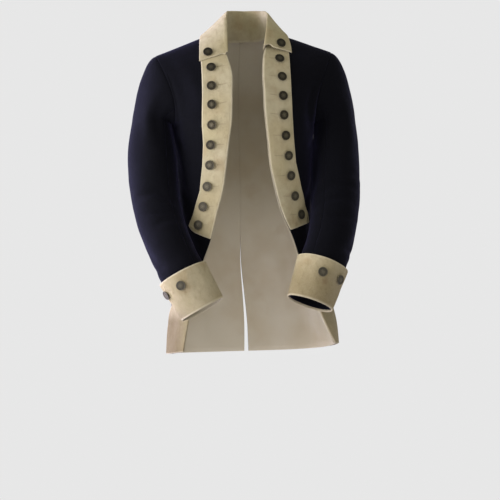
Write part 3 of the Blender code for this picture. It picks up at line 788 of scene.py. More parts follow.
# %% Cuffs
CUFF_WALL = 2.6
CUFF_STAND_OFF = 8.0
CUFF_CLOSE = WOOL_WALL / 2 + LAYER_GAP + CUFF_WALL / 2
CUFF_END_COVER = 4.0
CUFF_FAR_SIDE = {RIGHT: 5.0, LEFT: 1.0}
CUFF_HEIGHT = 82
CUFF_EASE = 0.8
CUFF_DENT = -3.0
CUFF_WANDER = (Wander(30.0, 1.1),)
CUFF_COLUMNS = 120
CUFF_ROWS = 30
CUFF_FOLDS = {
    RIGHT: [Fold(20, 18, 74, 66, 14, 1.6), Fold(112, 10, 96, 70, 12, 1.4),
            Fold(-60, 20, -84, 74, 15, 1.8), Fold(-120, 12, -132, 60, 12, 1.5)],
    LEFT: [Fold(8, 24, 60, 60, 13, 1.5), Fold(124, 14, 104, 72, 12, 1.7),
           Fold(-50, 14, -70, 70, 14, 1.6), Fold(-110, 20, -140, 66, 13, 1.6)],
}


def cuff_point(side, turn, share, offset=0.0):
    """Return a point of a cuff, share 0 at its free upper edge and 1 at the wrist."""
    at = CUFF_TOP_RING + share * (WRIST_RING - CUFF_TOP_RING)
    stand = CUFF_STAND_OFF + (CUFF_CLOSE - CUFF_STAND_OFF) * share**CUFF_EASE
    behind = max(0.0, -math.sin(math.radians(turn)))
    reach = CUFF_END_COVER + CUFF_FAR_SIDE[side] * behind if share >= 1 else 0.0
    signed = (turn + 180) % 360 - 180
    round_it = math.radians(signed) * (SLEEVE_RADIUS + stand)
    point = ring_point(side, turn % 360, at, stand, reach)
    move = fold_height(CUFF_FOLDS[side], round_it, share * CUFF_HEIGHT) * (1 - share) ** 0.5
    move += unevenness(point, CUFF_WANDER) * (1 - share)
    return ring_point(side, turn % 360, at, stand + max(move, CUFF_DENT) + offset, reach)


cuffs = {}
for side in (RIGHT, LEFT):
    cuffs[side] = cloth(
        f"cloth_cuff_{SIDE_NAMES[side]}", CUFF_COLUMNS, CUFF_ROWS,
        lambda c, r, side=side: cuff_point(side, 360 * c / CUFF_COLUMNS, r / CUFF_ROWS),
        CUFF_WALL, "buff_wool", closed=True)

# %% [markdown]
# ## Lapels and skirt turnbacks
# The lapels are buttoned back flat over the fronts, and the front corners of the skirts are turned
# back so that their pale side shows. Both follow the front's grid a little way out from it, so that
# they bend and fold with it and just cover its edge.

# %% Lapels
LAPEL_WALL = 2.4
LAPEL_OVER = WOOL_WALL / 2 + LAYER_GAP + LAPEL_WALL / 2
LAPEL_ROWS = 112
LAPEL_FOOT = {
    side: (level_at(-457 + side * FRONT_DROP, 94), level_at(-436 + side * FRONT_DROP / 2, 142))
    for side in (RIGHT, LEFT)
}
LAPEL_TOP = {RIGHT: 12.95, LEFT: 13.35}
LAPEL_ROUND = 0.12
LAPEL_ROUND_START = 0.6
LAPEL_PAST_EDGE = 1.0
EDGE_PUFF = 0.45
PUFF_PLACE = 0.6
PUFF_PARTS = 9


def lapel_row(side, share, up):
    """Return the grid row at a share of the way over and up a lapel."""
    inner, outer = LAPEL_FOOT[side]
    foot = inner + (outer - inner) * share
    if side == RIGHT:
        turned = max(0.0, (share - LAPEL_ROUND_START) / (1 - LAPEL_ROUND_START))
        foot += LAPEL_ROUND * turned**2
    foot = row_at(foot)
    return foot + (row_at(LAPEL_TOP[side]) - foot) * up


def lapel_point(side, c, r, offset=0.0):
    """Return a point of a lapel, which lies on its front and just passes its edge."""
    panel = PANELS[side, "front"]
    row = lapel_row(side, c / LAPEL_COLUMNS, r / LAPEL_ROWS)
    edge = min(c, LAPEL_COLUMNS - c) / LAPEL_COLUMNS
    puff = EDGE_PUFF * math.exp(-((edge * PUFF_PARTS - PUFF_PLACE) ** 2))
    column = panel.past_edge(row, LAPEL_PAST_EDGE) if c == 0 else c
    return panel.at(column, row, LAPEL_OVER + puff + softness(panel.at(c, row)) + offset)


lapels = {}
for side in (RIGHT, LEFT):
    lapels[side] = cloth(
        f"cloth_lapel_{SIDE_NAMES[side]}", LAPEL_COLUMNS, LAPEL_ROWS,
        lambda c, r, side=side: lapel_point(side, c, r), LAPEL_WALL, "buff_wool")

# %% Skirt turnbacks
TURNBACK_TOP_LEVEL = 2.9
TURNBACK_COLUMNS = 26
TURNBACK_ROWS = 48
TURNBACK_LIFT = 1.0
TURNBACK_HEM_WIDTH = 105.0
TURNBACK_TOP_WIDTH = 8.0
TURNBACK_BEND = 2.2
TURNBACK_LAG = 0.2
TURNBACK_SWELL = 1.8
TURNBACK_PAST_EDGE = 3.6
TURNBACK_TURN = 0.75
TURNBACK_TUCK = 0.3


def round_skirt(side, row, length, offset):
    """Return the point on the skirt a length round from the front edge, moved out by offset."""
    front = PANELS[side, "front"]
    back = PANELS[side, "back"]
    stops = [(front, column) for column in range(front.columns + 1)]
    stops += [(back, column) for column in range(back.columns - 1, -1, -1)]
    walked = 0.0
    for (panel, column), (after, next_column) in zip(stops, stops[1:]):
        start = panel.at(column, row)
        span = (after.at(next_column, row) - start).length
        if walked + span >= length:
            share = (length - walked) / span
            return panel.at(column, row, offset).lerp(after.at(next_column, row, offset), share)
        walked += span
    return back.at(0, row, offset)


def turnback_point(side, c, r):
    """Return a point of a skirt turnback: a long triangle along the front edge."""
    level = TURNBACK_TOP_LEVEL * r / TURNBACK_ROWS
    row = row_at(level)
    lag = TURNBACK_LAG * min(level / TURNBACK_BEND, 1.0)
    rise = ((level - lag) / (TURNBACK_TOP_LEVEL - TURNBACK_LAG)) ** TURNBACK_SWELL
    width = TURNBACK_HEM_WIDTH + (TURNBACK_TOP_WIDTH - TURNBACK_HEM_WIDTH) * rise
    over = LAPEL_OVER + TURNBACK_LIFT
    if c < 2:
        panel = PANELS[side, "front"]
        past = TURNBACK_PAST_EDGE * (1 if c == 0 else TURNBACK_TURN)
        return panel.at(panel.past_edge(row, past), row, TURNBACK_TUCK if c == 0 else over)
    return round_skirt(side, row, width * c / TURNBACK_COLUMNS, over)


for side in (RIGHT, LEFT):
    name = SIDE_NAMES[side]
    turnback = cloth(
        f"cloth_turnback_{name}", TURNBACK_COLUMNS, TURNBACK_ROWS,
        lambda c, r, side=side: turnback_point(side, c, r), LAPEL_WALL, "buff_wool")
    declare(turnback, f"turnback_{name}")

# %% [markdown]
# ## Collar
# The collar is one strip that stands up round the neck, rolls over and falls onto the shoulders and
# lapels. It is drawn as a section, stand, roll and fall, at stations from the nape to each front end.

# %% Collar
Station = namedtuple("Station", "roll_x roll_y roll_z edge_x edge_level lift neck_level")
COLLAR = [
    Station(0, 68, 67, 0, 12.85, 7.0, 13.0),
    Station(34, 51, 67, 64, 13.25, 7.0, 13.15),
    Station(48, 4, 61, 94, 14.0, 7.0, 14.0),
    Station(48, -34, 20, 105, 13.45, 7.0, 13.5),
    Station(45, -62, -22, 108, 12.85, 7.0, 13.0),
]
COLLAR_WALL = 3.0
COLLAR_LEAN = 9.0
COLLAR_FRONT = 2
LEVEL_HEIGHT = 52.0
COLLAR_FINE = 14
NECK_Y = 8
STAND_IN = 2.4
STAND_IN_FRONT = 3.6
STAND_UP = 2.6
STAND_LESS = 0.9
NAPE_SINK = 4.0
STAND_TUCK_DOWN = 6.0
STAND_TUCK_IN = 3.5
COLLAR_WANDER = (Wander(24.0, 0.8),)
SMOOTHINGS = 6
CURL_START = 3.45
CURL_WAY = Vector((0.0, -0.35, -0.94))
Curl = namedtuple("Curl", "dip place width swell")
CURLS = {RIGHT: Curl(7.0, 0.0, 0.09, 2.2), LEFT: Curl(-5.5, 0.16, 0.11, 1.0)}
ROLL_POINTS = ((-1.3, 0.9), (0.3, 1.6))
ROLL_INNER = 2.0
ROLL_OUTER = 3.0
FALL_OUT = 0.2
FALL_LEAVE = 0.95
FALL_LEAVE_LESS = 0.45
FALL_ARRIVE = 1.05
FALL_ARRIVE_LESS = 0.1
FALL_SINK = 0.12
STAND_SHARES = [0.0, 0.15, 0.3, 0.45, 0.6, 0.72, 0.85]
FALL_SHARES = [0.05 + 0.95 * step / 18 for step in range(19)]


def body_layer(side, face, across, level, offset):
    """Return a point of the body moved out by offset."""
    return body_point(side, face, across, level) + body_out(side, face, across, level) * offset


def collar_neck(side, at, row):
    """Return where the collar's stand is sewn, just inside the neck edge."""
    level = min(row.neck_level, float(RIDGE))
    if at < COLLAR_FRONT:
        distance = nape_edge(level) if at > 0 else 0.0
        point = body_point(side, "back", across_at(distance, level, "back"), level)
    else:
        point = body_point(side, "front", across_at(front_edge(side, level), level), level)
    towards = Vector((-point.x, NECK_Y - point.y, 0)).normalized()
    inward = STAND_IN + STAND_IN_FRONT * min(max(at - COLLAR_FRONT, 0), 1)
    tucked = min(max(2.0 * (COLLAR_FRONT - at), 0.0), 1.0)
    up = STAND_UP - STAND_LESS * min(at, 1) - STAND_TUCK_DOWN * tucked
    up -= NAPE_SINK * max(0.0, 1 - 2 * at)
    return point + towards * (inward + STAND_TUCK_IN * tucked) + Vector((0, 0, up))


def end_wave(side, at, share):
    """Return how far the collar's front end dips or rises, share being the way to its outer edge."""
    near = max(0.0, (at - CURL_START) / (len(COLLAR) - 1 - CURL_START)) ** 2
    curl = CURLS[side]
    dip = curl.dip * math.exp(-(((share - curl.place) / curl.width) ** 2))
    return CURL_WAY * (dip + curl.swell * math.sin(math.pi * share)) * near


def collar_section(side, at):
    """List the points of the collar's section: stand, roll and fall."""
    row = spline(COLLAR, at)
    forward = max(0.0, at - COLLAR_FRONT) / 2
    drop = side * FRONT_DROP * forward
    neck = collar_neck(side, at, row)
    lean = COLLAR_LEAN * (1 - forward)
    roll = Vector((lean + side * row.roll_x, row.roll_y, row.roll_z + drop))
    if at < COLLAR_FRONT:
        level = row.edge_level + (RIDGE - row.edge_level) * max(0.0, at - 1) ** 2
        edge = body_layer(side, "back", across_at(row.edge_x, level, "back"), level, row.lift)
    else:
        level = min(row.edge_level + drop / LEVEL_HEIGHT, float(RIDGE))
        edge = body_layer(side, "front", across_at(row.edge_x, level), level, row.lift)
    out = edge - roll
    out.z = 0
    out.normalize()
    points = [neck.lerp(roll - out * ROLL_INNER, share) for share in STAND_SHARES]
    points += [roll + out * reach + Vector((0, 0, up)) for reach, up in ROLL_POINTS]
    start = roll + out * ROLL_OUTER
    way = edge - start
    leave = out * way.length * FALL_OUT * forward + way * (FALL_LEAVE - FALL_LEAVE_LESS * forward)
    arrive = way * (FALL_ARRIVE - FALL_ARRIVE_LESS * forward)
    arrive.z -= FALL_SINK * way.length * forward
    for share in FALL_SHARES:
        point = hermite(start, leave, edge, arrive, share)
        point += out * unevenness(point, COLLAR_WANDER) * share + end_wave(side, at, share)
        points.append(point)
    return points


COLLAR_STEPS = COLLAR_FINE * (len(COLLAR) - 1)
half = {side: [collar_section(side, step / COLLAR_FINE) for step in range(COLLAR_STEPS + 1)]
        for side in (RIGHT, LEFT)}
middle = [a.lerp(b, 0.5) for a, b in zip(half[RIGHT][0], half[LEFT][0])]
SECTIONS = half[RIGHT][:0:-1] + [middle] + half[LEFT][1:]


def easier(sections, times):
    """Even out the sections along the collar, ends kept."""
    for _ in range(times):
        near = zip(sections, sections[1:], sections[2:])
        inner = [[b * 0.5 + (a + c) * 0.5**2 for a, b, c in zip(*group)] for group in near]
        sections = [sections[0]] + inner + [sections[-1]]
    return sections


SECTIONS = easier(SECTIONS, SMOOTHINGS)
collar = cloth(
    "cloth_collar", len(SECTIONS) - 1, len(SECTIONS[0]) - 1, lambda c, r: SECTIONS[c][r],
    COLLAR_WALL, "buff_wool")
print("collar sections:", len(SECTIONS), "points in each:", len(SECTIONS[0]))

# %% [markdown]
# ## Buttons
# The real buttons are cast or stamped in metal: a low dome inside a raised rim, with worn relief and
# a shank behind. A turned profile gives the rim and dome, and the relief is a plain rosette inside a
# ring of beads, worked into the height of each point. One mesh serves every button, and each is set
# where its solid is.

# %% A button's profile and relief
BUTTON_RADIUS = 11.0
BUTTON_TURNS = 72
BUTTON_PROFILE = [
    (0.0, 3.7), (1.0, 3.7), (2.0, 3.68), (3.0, 3.66), (4.0, 3.62), (5.0, 3.58), (6.0, 3.54),
    (6.8, 3.5), (7.5, 3.46), (8.2, 3.4), (8.8, 3.34), (9.3, 3.42), (9.8, 3.8), (10.3, 3.95),
    (10.8, 3.85), (11.2, 3.4), (11.3, 2.8), (11.0, 2.4), (9.5, 2.0), (6.0, 1.5), (4.0, 1.2),
    (3.6, 0.0), (0.0, 0.0),
]
RELIEF_POINTS = 12
Relief = namedtuple("Relief", "radius width height times")
RELIEF = [Relief(4.0, 2.2, 0.5, 8), Relief(0.0, 1.5, 0.42, 0), Relief(7.5, 0.5, 0.36, 24)]


def relief(radius, angle):
    """Return the height of the button's relief: a heart, a rosette and a ring of beads."""
    return sum(
        part.height * math.exp(-(((radius - part.radius) / part.width) ** 2))
        * math.cos(part.times * angle / 2) ** 2 for part in RELIEF)


def button_mesh():
    """Turn the profile, with the relief on its face."""
    mesh = bpy.data.meshes.new("button")
    verts = [(0, 0, BUTTON_PROFILE[0][1] * MM + relief(0, 0) * MM)]
    for index, (radius, height) in enumerate(BUTTON_PROFILE[1:-1], 1):
        for turn in range(BUTTON_TURNS):
            angle = math.tau * turn / BUTTON_TURNS
            lift = relief(radius, angle) if index < RELIEF_POINTS else 0.0
            verts.append((radius * MM * math.cos(angle), radius * MM * math.sin(angle),
                          (height + lift) * MM))
    verts.append((0, 0, 0))
    last = len(verts) - 1
    faces = []
    for turn in range(BUTTON_TURNS):
        after = (turn + 1) % BUTTON_TURNS
        faces.append((0, 1 + turn, 1 + after))
        for ring in range(len(BUTTON_PROFILE) - 3):
            low = 1 + ring * BUTTON_TURNS
            high = low + BUTTON_TURNS
            faces.append((low + turn, high + turn, high + after, low + after))
        low = last - BUTTON_TURNS
        faces.append((last, low + after, low + turn))
    mesh.from_pydata(verts, [], faces)
    mesh.shade_smooth()
    mesh.set_sharp_from_angle(angle=SHARP_ANGLE)
    return mesh


BUTTON = button_mesh()
print("faces in a button:", len(BUTTON.polygons))


# %% Setting the buttons
def solid_frame(node):
    """Return the middle of a flat round solid's underside and the direction it faces."""
    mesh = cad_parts[node].data
    corners = [v.co for v in mesh.vertices]
    centre = sum(corners, Vector()) / len(corners)
    flat = Vector()
    for polygon in mesh.polygons:
        normal = polygon.normal
        if normal.dot(polygon.center - centre) > 0:
            flat += normal * polygon.area * (1 if normal.y < 0 else -1)
    return centre, flat.normalized()


LAPEL_BUTTON_X = 85.0
LAPEL_BUTTONS = {
    RIGHT: [
        (-67, 1.9), (-109, 1.98), (-152, 1.91), (-199, 1.84), (-245, 1.96), (-292, 1.91),
        (-342, 1.94), (-389, 1.78), (-432, 1.66),
    ],
    LEFT: [
        (-51, 1.74), (-92, 1.94), (-136, 1.93), (-180, 1.87), (-227, 1.88), (-274, 1.98),
        (-321, 1.84), (-369, 1.7), (-413, 1.82),
    ],
}
CUFF_BUTTONS = {RIGHT: [(66.0, 0.27), (11.0, 0.285)], LEFT: [(86.0, 0.31), (37.0, 0.31)]}
COLLAR_BUTTON_TURN = 0.35
COLLAR_BUTTON_SINK = 2.1
LAPEL_PUFF = 1.0
LAPEL_BUTTON_TURN = 0.9
CUFF_BUTTON_TURN = 2.1
CUFF_NORMAL_STEPS = (4, 0.08)
BUTTON_SEAT = 0.3
with_buttons = {}


def place_button(node, base, normal, turn):
    """Set a button with its shank on a point, facing along the normal and turned a little."""
    item = add_object(f"metal_{node}", BUTTON)
    spin = Matrix.Rotation(turn, 4, "Z")
    facing = normal.to_track_quat("Z", "Y").to_matrix().to_4x4()
    item.matrix_world = Matrix.Translation(base * MM) @ facing @ spin
    dress(item, "aged_metal")
    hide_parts(node)
    return item


def button_spot(side, number):
    """Return the grid column and row of a lapel button, counted from the top."""
    height, column = LAPEL_BUTTONS[side][number]
    return LAPEL_COLUMNS * column / COARSE_LAPEL, row_at(level_at(height, LAPEL_BUTTON_X))


seat = LAPEL_OVER + LAPEL_WALL / 2 + LAPEL_PUFF + BUTTON_SEAT
for side in (RIGHT, LEFT):
    panel = PANELS[side, "front"]
    for number in range(len(LAPEL_BUTTONS[side])):
        column, row = button_spot(side, number)
        base = panel.at(column, row, seat)
        normal = (panel.at(column, row, seat + 1) - base).normalized()
        node = f"button_lapel_{SIDE_NAMES[side]}_{number + 1}"
        button = place_button(node, base, normal, LAPEL_BUTTON_TURN * number + side)
        with_buttons.setdefault(lapels[side], []).append(button)
    for number, (turn, share) in enumerate(CUFF_BUTTONS[side]):
        base = cuff_point(side, turn, share)
        centre = ring_frame(side, CUFF_TOP_RING + share)[0]
        normal = surface_normal(
            lambda a, b, side=side: cuff_point(side, a, b), turn, share, *CUFF_NORMAL_STEPS,
            base - centre)
        node = f"button_cuff_{SIDE_NAMES[side]}_{number + 1}"
        base += normal * (CUFF_WALL / 2 + BUTTON_SEAT)
        button = place_button(node, base, normal, CUFF_BUTTON_TURN * number + side)
        with_buttons.setdefault(cuffs[side], []).append(button)
    centre, normal = solid_frame(f"button_collar_{SIDE_NAMES[side]}")
    base = centre / MM - normal * COLLAR_BUTTON_SINK
    button = place_button(f"button_collar_{SIDE_NAMES[side]}", base, normal, COLLAR_BUTTON_TURN)
    with_buttons.setdefault(collar, []).append(button)
print(sum(len(items) for items in with_buttons.values()), "buttons set")

# %% [markdown]
# ## Worked buttonholes and edge stitches
# Beside each lapel button a slit worked in thread points to the front edge, though it no longer
# opens. Fine prick stitches hold the edges of the lapels, collar and cuffs flat. Both are thread on
# the cloth, so both are meshes laid on the cloth's own points: a raised rim round a slit, and a row
# of short strands whose ends sink in.

# %% Thread laid on cloth
HOLE_LENGTH = 19.0
HOLE_HALF_WIDTH = 0.85
HOLE_STEPS = 40
STRAND_SIDES = 6
STRAND_RADIUS = 0.28
STRAND_LENGTH = 2.2
STRAND_PITCH = 5.0
STRAND_SINK = 0.25
STRAND_RISE = 0.12
STITCH_INSET = 4.0
HOLE_CLEAR = 2.5
HOLE_RINGS = ((1.0, -0.3), (0.8, 0.2), (0.5, 0.28), (0.25, 0.0), (0.1, -0.5))
HOLE_RIPPLE = 0.1
HOLE_END = 0.7


def add_thread(name, verts, faces):
    """Make one object of thread, which rides on the coat and takes the thread finish."""
    mesh = bpy.data.meshes.new(name)
    mesh.from_pydata([point * MM for point in verts], [], faces)
    mesh.shade_smooth()
    return dress(add_object(name, mesh), "thread")


def join_rings(first, rings, sides, faces):
    """Add the faces between rings of points that follow one another."""
    for ring in range(rings - 1):
        low = first + ring * sides
        for step in range(sides):
            after = (step + 1) % sides
            faces.append((low + step, low + after, low + sides + after, low + sides + step))


def buttonhole(place, verts, faces):
    """Add the raised rim of a slit; place(u, v, h) is a point of the cloth near it."""
    straight = HOLE_LENGTH / 2 - HOLE_HALF_WIDTH
    first = len(verts)
    for reach, height in HOLE_RINGS:
        for step in range(HOLE_STEPS):
            angle = math.tau * step / HOLE_STEPS
            along = math.cos(angle)
            u = math.copysign(straight, along) + HOLE_HALF_WIDTH * reach * along
            v = HOLE_HALF_WIDTH * reach * math.sin(angle)
            if abs(along) < HOLE_END:
                u = straight * along / HOLE_END
                v = math.copysign(HOLE_HALF_WIDTH * reach, math.sin(angle))
            verts.append(place(u, v, height + HOLE_RIPPLE * (step % 2)))
    join_rings(first, len(HOLE_RINGS), HOLE_STEPS, faces)
    last = first + (len(HOLE_RINGS) - 1) * HOLE_STEPS
    faces.append(tuple(last + step for step in range(HOLE_STEPS)))


def strand(points, verts, faces):
    """Add one short strand of thread through three points, thin at its ends."""
    first = len(verts)
    along = (points[2] - points[0]).normalized()
    up = (points[1] * 2 - points[0] - points[2]).normalized()
    wide = along.cross(up).normalized()
    for point, size in zip(points, (0.5, 1.0, 0.5)):
        for step in range(STRAND_SIDES):
            angle = math.tau * step / STRAND_SIDES
            off = (wide * math.cos(angle) + up * math.sin(angle)) * STRAND_RADIUS * size
            verts.append(point + off)
    join_rings(first, 3, STRAND_SIDES, faces)
    faces.append(tuple(first + step for step in reversed(range(STRAND_SIDES))))
    faces.append(tuple(first + 2 * STRAND_SIDES + step for step in range(STRAND_SIDES)))


def stitch_line(line, verts, faces):
    """Add prick stitches along a line of (point on the cloth, way out) pairs."""
    walked = 0.0
    due = STRAND_PITCH / 2
    for (a, out_a), (b, _) in zip(line, line[1:]):
        span = (b - a).length
        while span > 0 and due < walked + span:
            share = (due - walked) / span
            middle = a.lerp(b, share)
            along = (b - a).normalized() * STRAND_LENGTH / 2
            sink = out_a * STRAND_SINK
            strand([middle - along - sink, middle + out_a * STRAND_RISE, middle + along - sink],
                   verts, faces)
            due += STRAND_PITCH
        walked += span


print("strands lie", STITCH_INSET, "mm inside an edge")

# %% Thread on the lapels
MIDDLE_ROW = 60
for side in (RIGHT, LEFT):
    panel = PANELS[side, "front"]
    verts = []
    faces = []
    for number in range(len(LAPEL_BUTTONS[side])):
        spot, row = button_spot(side, number)
        here = panel.at(spot, row)
        column_size = (panel.at(spot - 1, row) - here).length
        row_size = (panel.at(spot, row + 1) - here).length
        start = spot - (BUTTON_RADIUS + HOLE_CLEAR) / column_size

        def place(u, v, h, panel=panel, start=start, row=row, sizes=(column_size, row_size)):
            column = start - (u + HOLE_LENGTH / 2) / sizes[0]
            over = LAPEL_OVER + LAPEL_WALL / 2 + softness(panel.at(column, row))
            return panel.at(column, row + v / sizes[1], over + h)

        buttonhole(place, verts, faces)
    name = SIDE_NAMES[side]
    holes = add_thread(f"buttonholes_lapel_{name}", verts, faces)
    verts = []
    faces = []
    at = STITCH_INSET / (panel.at(1, MIDDLE_ROW) - panel.at(0, MIDDLE_ROW)).length
    for c in (at, LAPEL_COLUMNS - at):
        line = []
        for r in range(2, LAPEL_ROWS - 2):
            skin = lapel_point(side, c, r, LAPEL_WALL / 2)
            line.append((skin, lapel_point(side, c, r, LAPEL_WALL / 2 + 1) - skin))
        stitch_line(line, verts, faces)
    stitches = add_thread(f"stitches_lapel_{name}", verts, faces)
    declare(lapels[side], f"lapel_{name}")

# %% Thread on the cuffs
CUFF_STITCH_SHARE = 0.055
CUFF_STITCH_TURN = 2
for side in (RIGHT, LEFT):
    verts = []
    faces = []
    for share in (CUFF_STITCH_SHARE, 1 - CUFF_STITCH_SHARE):
        line = []
        for turn in range(0, 360 + CUFF_STITCH_TURN, CUFF_STITCH_TURN):
            skin = cuff_point(side, turn, share, CUFF_WALL / 2)
            line.append((skin, cuff_point(side, turn, share, CUFF_WALL / 2 + 1) - skin))
        stitch_line(line, verts, faces)
    name = SIDE_NAMES[side]
    stitches = add_thread(f"stitches_cuff_{name}", verts, faces)
    declare(cuffs[side], f"cuff_{name}")

# %% Thread on the collar
KEPT_SECTIONS = SECTIONS[3:-3]
OUT_HINT = Vector((0, -20, 30))
verts = []
faces = []
line = []
for section in KEPT_SECTIONS:
    fall = (section[-1] - section[-2]).normalized()
    line.append(section[-1] - fall * STITCH_INSET)
outs = []
for index, point in enumerate(line):
    ahead = line[min(index + 1, len(line) - 1)] - line[max(index - 1, 0)]
    down = KEPT_SECTIONS[index][-1] - KEPT_SECTIONS[index][-3]
    out = ahead.cross(down).normalized()
    if out.dot(Vector((point.x, point.y, 0)) + OUT_HINT) < 0:
        out = -out
    outs.append((point + out * (COLLAR_WALL / 2), out))
stitch_line(outs, verts, faces)
collar_stitches = add_thread("stitches_collar", verts, faces)
declare(collar, "collar")

# %% [markdown]
# ## Writing shaders as sums
# A shader is a small sum over the surface: this noise times that, plus a colour. Written node by
# node it is hard to read, so one small class wraps a socket and turns Python's operators into Math
# nodes. Colours and vectors go through Mix and Vector Math, which keep their three channels.

# %% A socket that can be added and multiplied
class Value:
    """A number that varies over the surface, with the operators of ordinary numbers."""

    def __init__(self, maker, socket):
        self.maker = maker
        self.socket = socket

    def math(self, operation, *others):
        """Return a Math node's result for this value and others."""
        return self.maker.sum_up(operation, self, *others)

    def __add__(self, other):
        return self.math("ADD", other)

    def __mul__(self, other):
        return self.math("MULTIPLY", other)

    def __sub__(self, other):
        return self.math("SUBTRACT", other)

    def __rsub__(self, other):
        return self.maker.sum_up("SUBTRACT", other, self)

    __radd__ = __add__
    __rmul__ = __mul__

    def ramp(self, low, high):
        """Return 0 below low, 1 above high and a smooth rise between."""
        settings = {"interpolation_type": "SMOOTHSTEP"}
        inputs = {"Value": self, "From Min": low, "From Max": high}
        return Value(self.maker, self.maker.node("ShaderNodeMapRange", settings, inputs).outputs[0])


class Maker:
    """Makes the nodes of one material."""

    def __init__(self, name):
        self.material = bpy.data.materials.new(name)
        self.material.use_nodes = True
        self.tree = self.material.node_tree
        self.shader = self.tree.nodes["Principled BSDF"]

    def feed(self, target, source):
        """Link a value to a socket, or set the socket's own number, colour or vector."""
        source = source.socket if isinstance(source, Value) else source
        if isinstance(source, bpy.types.NodeSocket):
            self.tree.links.new(source, target)
        else:
            target.default_value = source

    def node(self, kind, settings=(), inputs=()):
        """Add a node of a kind: settings first, then the values or links of its sockets."""
        made = self.tree.nodes.new(kind)
        for name, value in dict(settings).items():
            setattr(made, name, value)
        for name, source in dict(inputs).items():
            self.feed(made.inputs[name], source)
        return made

    def sum_up(self, operation, *terms):
        """Return the result of one Math node on its terms, which may be plain numbers."""
        settings = {"operation": operation}
        return Value(self, self.node("ShaderNodeMath", settings, enumerate(terms)).outputs[0])

    def times(self, vector, scale):
        """Return a vector multiplied part by part."""
        return self.node("ShaderNodeVectorMath", {"operation": "MULTIPLY"},
                         {0: vector, 1: scale}).outputs[0]

    def split(self, vector, axis):
        """Return one coordinate of a vector: 0 is x and 2 is z."""
        return Value(self, self.node("ShaderNodeSeparateXYZ", (), {0: vector}).outputs[axis])

    def place(self):
        """Return the place on the piece, in metres."""
        return self.node("ShaderNodeTexCoord").outputs["Object"]

    def part(self, axis):
        """Return one coordinate of the place on the piece, in metres."""
        return self.split(self.place(), axis)

    def cloth_map(self, name):
        """Return the two numbers that one of the cloth's own maps gives, in metres."""
        vector = self.node("ShaderNodeUVMap", {"uv_map": name}).outputs[0]
        return self.split(vector, 0), self.split(vector, 1)

    def noise(self, scale, detail=2.0, vector=None, stretch=None):
        """Return soft noise from about 0 to 1; stretch makes it longer along some axes."""
        vector = vector or self.place()
        if stretch:
            vector = self.times(vector, stretch)
        inputs = {"Vector": vector, "Scale": scale, "Detail": detail}
        return Value(self, self.node("ShaderNodeTexNoise", (), inputs).outputs["Fac"])

    def spot(self, centre, radius, blur):
        """Return 1 inside a round mark on the front of the cloth, fading over blur, in mm."""
        seen = self.times(self.place(), SPOT_DEPTH)
        middle = tuple(part * size * MM for part, size in zip(centre, SPOT_DEPTH))
        away = self.node("ShaderNodeVectorMath", {"operation": "DISTANCE"}, {0: seen, 1: middle})
        return 1 - Value(self, away.outputs["Value"]).ramp(radius * MM, (radius + blur) * MM)

    def mix(self, factor, low, high):
        """Return a colour between two colours."""
        inputs = {"Factor": factor, 6: low, 7: high}
        return self.node("ShaderNodeMix", {"data_type": "RGBA"}, inputs).outputs[2]

    def lay(self, base, *coats):
        """Lay coats over a colour in turn, each a factor and a usual 0 to 255 colour."""
        for factor, colour in coats:
            base = self.mix(factor, base, srgb(*colour))
        return base

    def finish(self, inputs, relief, distance, strength):
        """Feed the shader's inputs, and its normal from the height of its relief."""
        heights = {"Height": relief, "Distance": distance, "Strength": strength}
        inputs["Normal"] = self.node("ShaderNodeBump", (), heights).outputs[0]
        for name, source in inputs.items():
            self.feed(self.shader.inputs[name], source)
        return self.material


def srgb(red, green, blue):
    """Turn the usual 0 to 255 colour into the shader's linear one."""
    linear = []
    for channel in (red, green, blue):
        share = channel / 255
        linear.append(share / 12.92 if share <= 0.04045 else ((share + 0.055) / 1.055) ** 2.4)
    return (*linear, 1.0)


SPOT_DEPTH = (1.0, 0.3, 1.0)
print("buff in linear light:", [round(v, 3) for v in srgb(208, 195, 162)])

# %% [markdown]
# ## Weave
# Under its nap the wool is a plain weave of threads just under a millimetre wide. Two sine waves
# along the cloth's own map make the threads, one over the other in turn, so the weave turns with
# each piece as real cloth does. On the dark wool it feeds only the bump, because the nap hides it.

# %% A plain weave
def weave(maker, pitch):
    """Return the height of a plain weave whose threads are pitch metres wide."""
    warp, weft = ((way * (math.pi / pitch)).math("SINE") for way in maker.cloth_map("cloth"))
    check = (warp * weft).ramp(-0.25, 0.25)
    return warp.math("ABSOLUTE") * check + weft.math("ABSOLUTE") * (1 - check)


# %% [markdown]
# ## Dark wool
# The shell is fulled broadcloth, nearly black with a blue cast: its nap scatters a little light at
# grazing angles, so its edges look violet-blue and its middle black. Sheen does this. The colour
# wanders a little, with paler rubbed patches, and the nap is fine noise drawn out down the cloth.

# %% Navy wool
LINT_SPOT = (-172.0, -110.0, -359.0)


def navy_wool():
    """Return the finish of the dark shell."""
    maker = Maker("navy wool")
    rubbed = maker.noise(9.0, 4.0).ramp(0.46, 0.74)
    cloudy = maker.noise(34.0, 3.0)
    nap = maker.noise(900.0, 2.0, stretch=(1.0, 1.0, 0.35))
    lint = maker.noise(420.0, 1.0).ramp(0.80, 0.84)
    base = maker.lay(
        maker.mix(cloudy, srgb(5, 5, 6), srgb(8, 8, 10)),
        (rubbed * 0.4, (13, 13, 17)),
        (nap.ramp(0.35, 0.75) * 0.4, (14, 14, 20)),
        (lint * 0.2, (90, 88, 92)),
        (maker.spot(LINT_SPOT, 1.6, 1.2) * 0.7, (190, 188, 186)),
    )
    relief = weave(maker, 0.0008) * 0.35 + nap * 1.1 + cloudy * 0.6
    return maker.finish({
        "Base Color": base, "Roughness": 0.86 + cloudy * 0.1, "Specular IOR Level": 0.05,
        "Sheen Weight": 0.11, "Sheen Roughness": 0.35, "Sheen Tint": srgb(160, 155, 215),
    }, relief, 0.0005, 0.7)
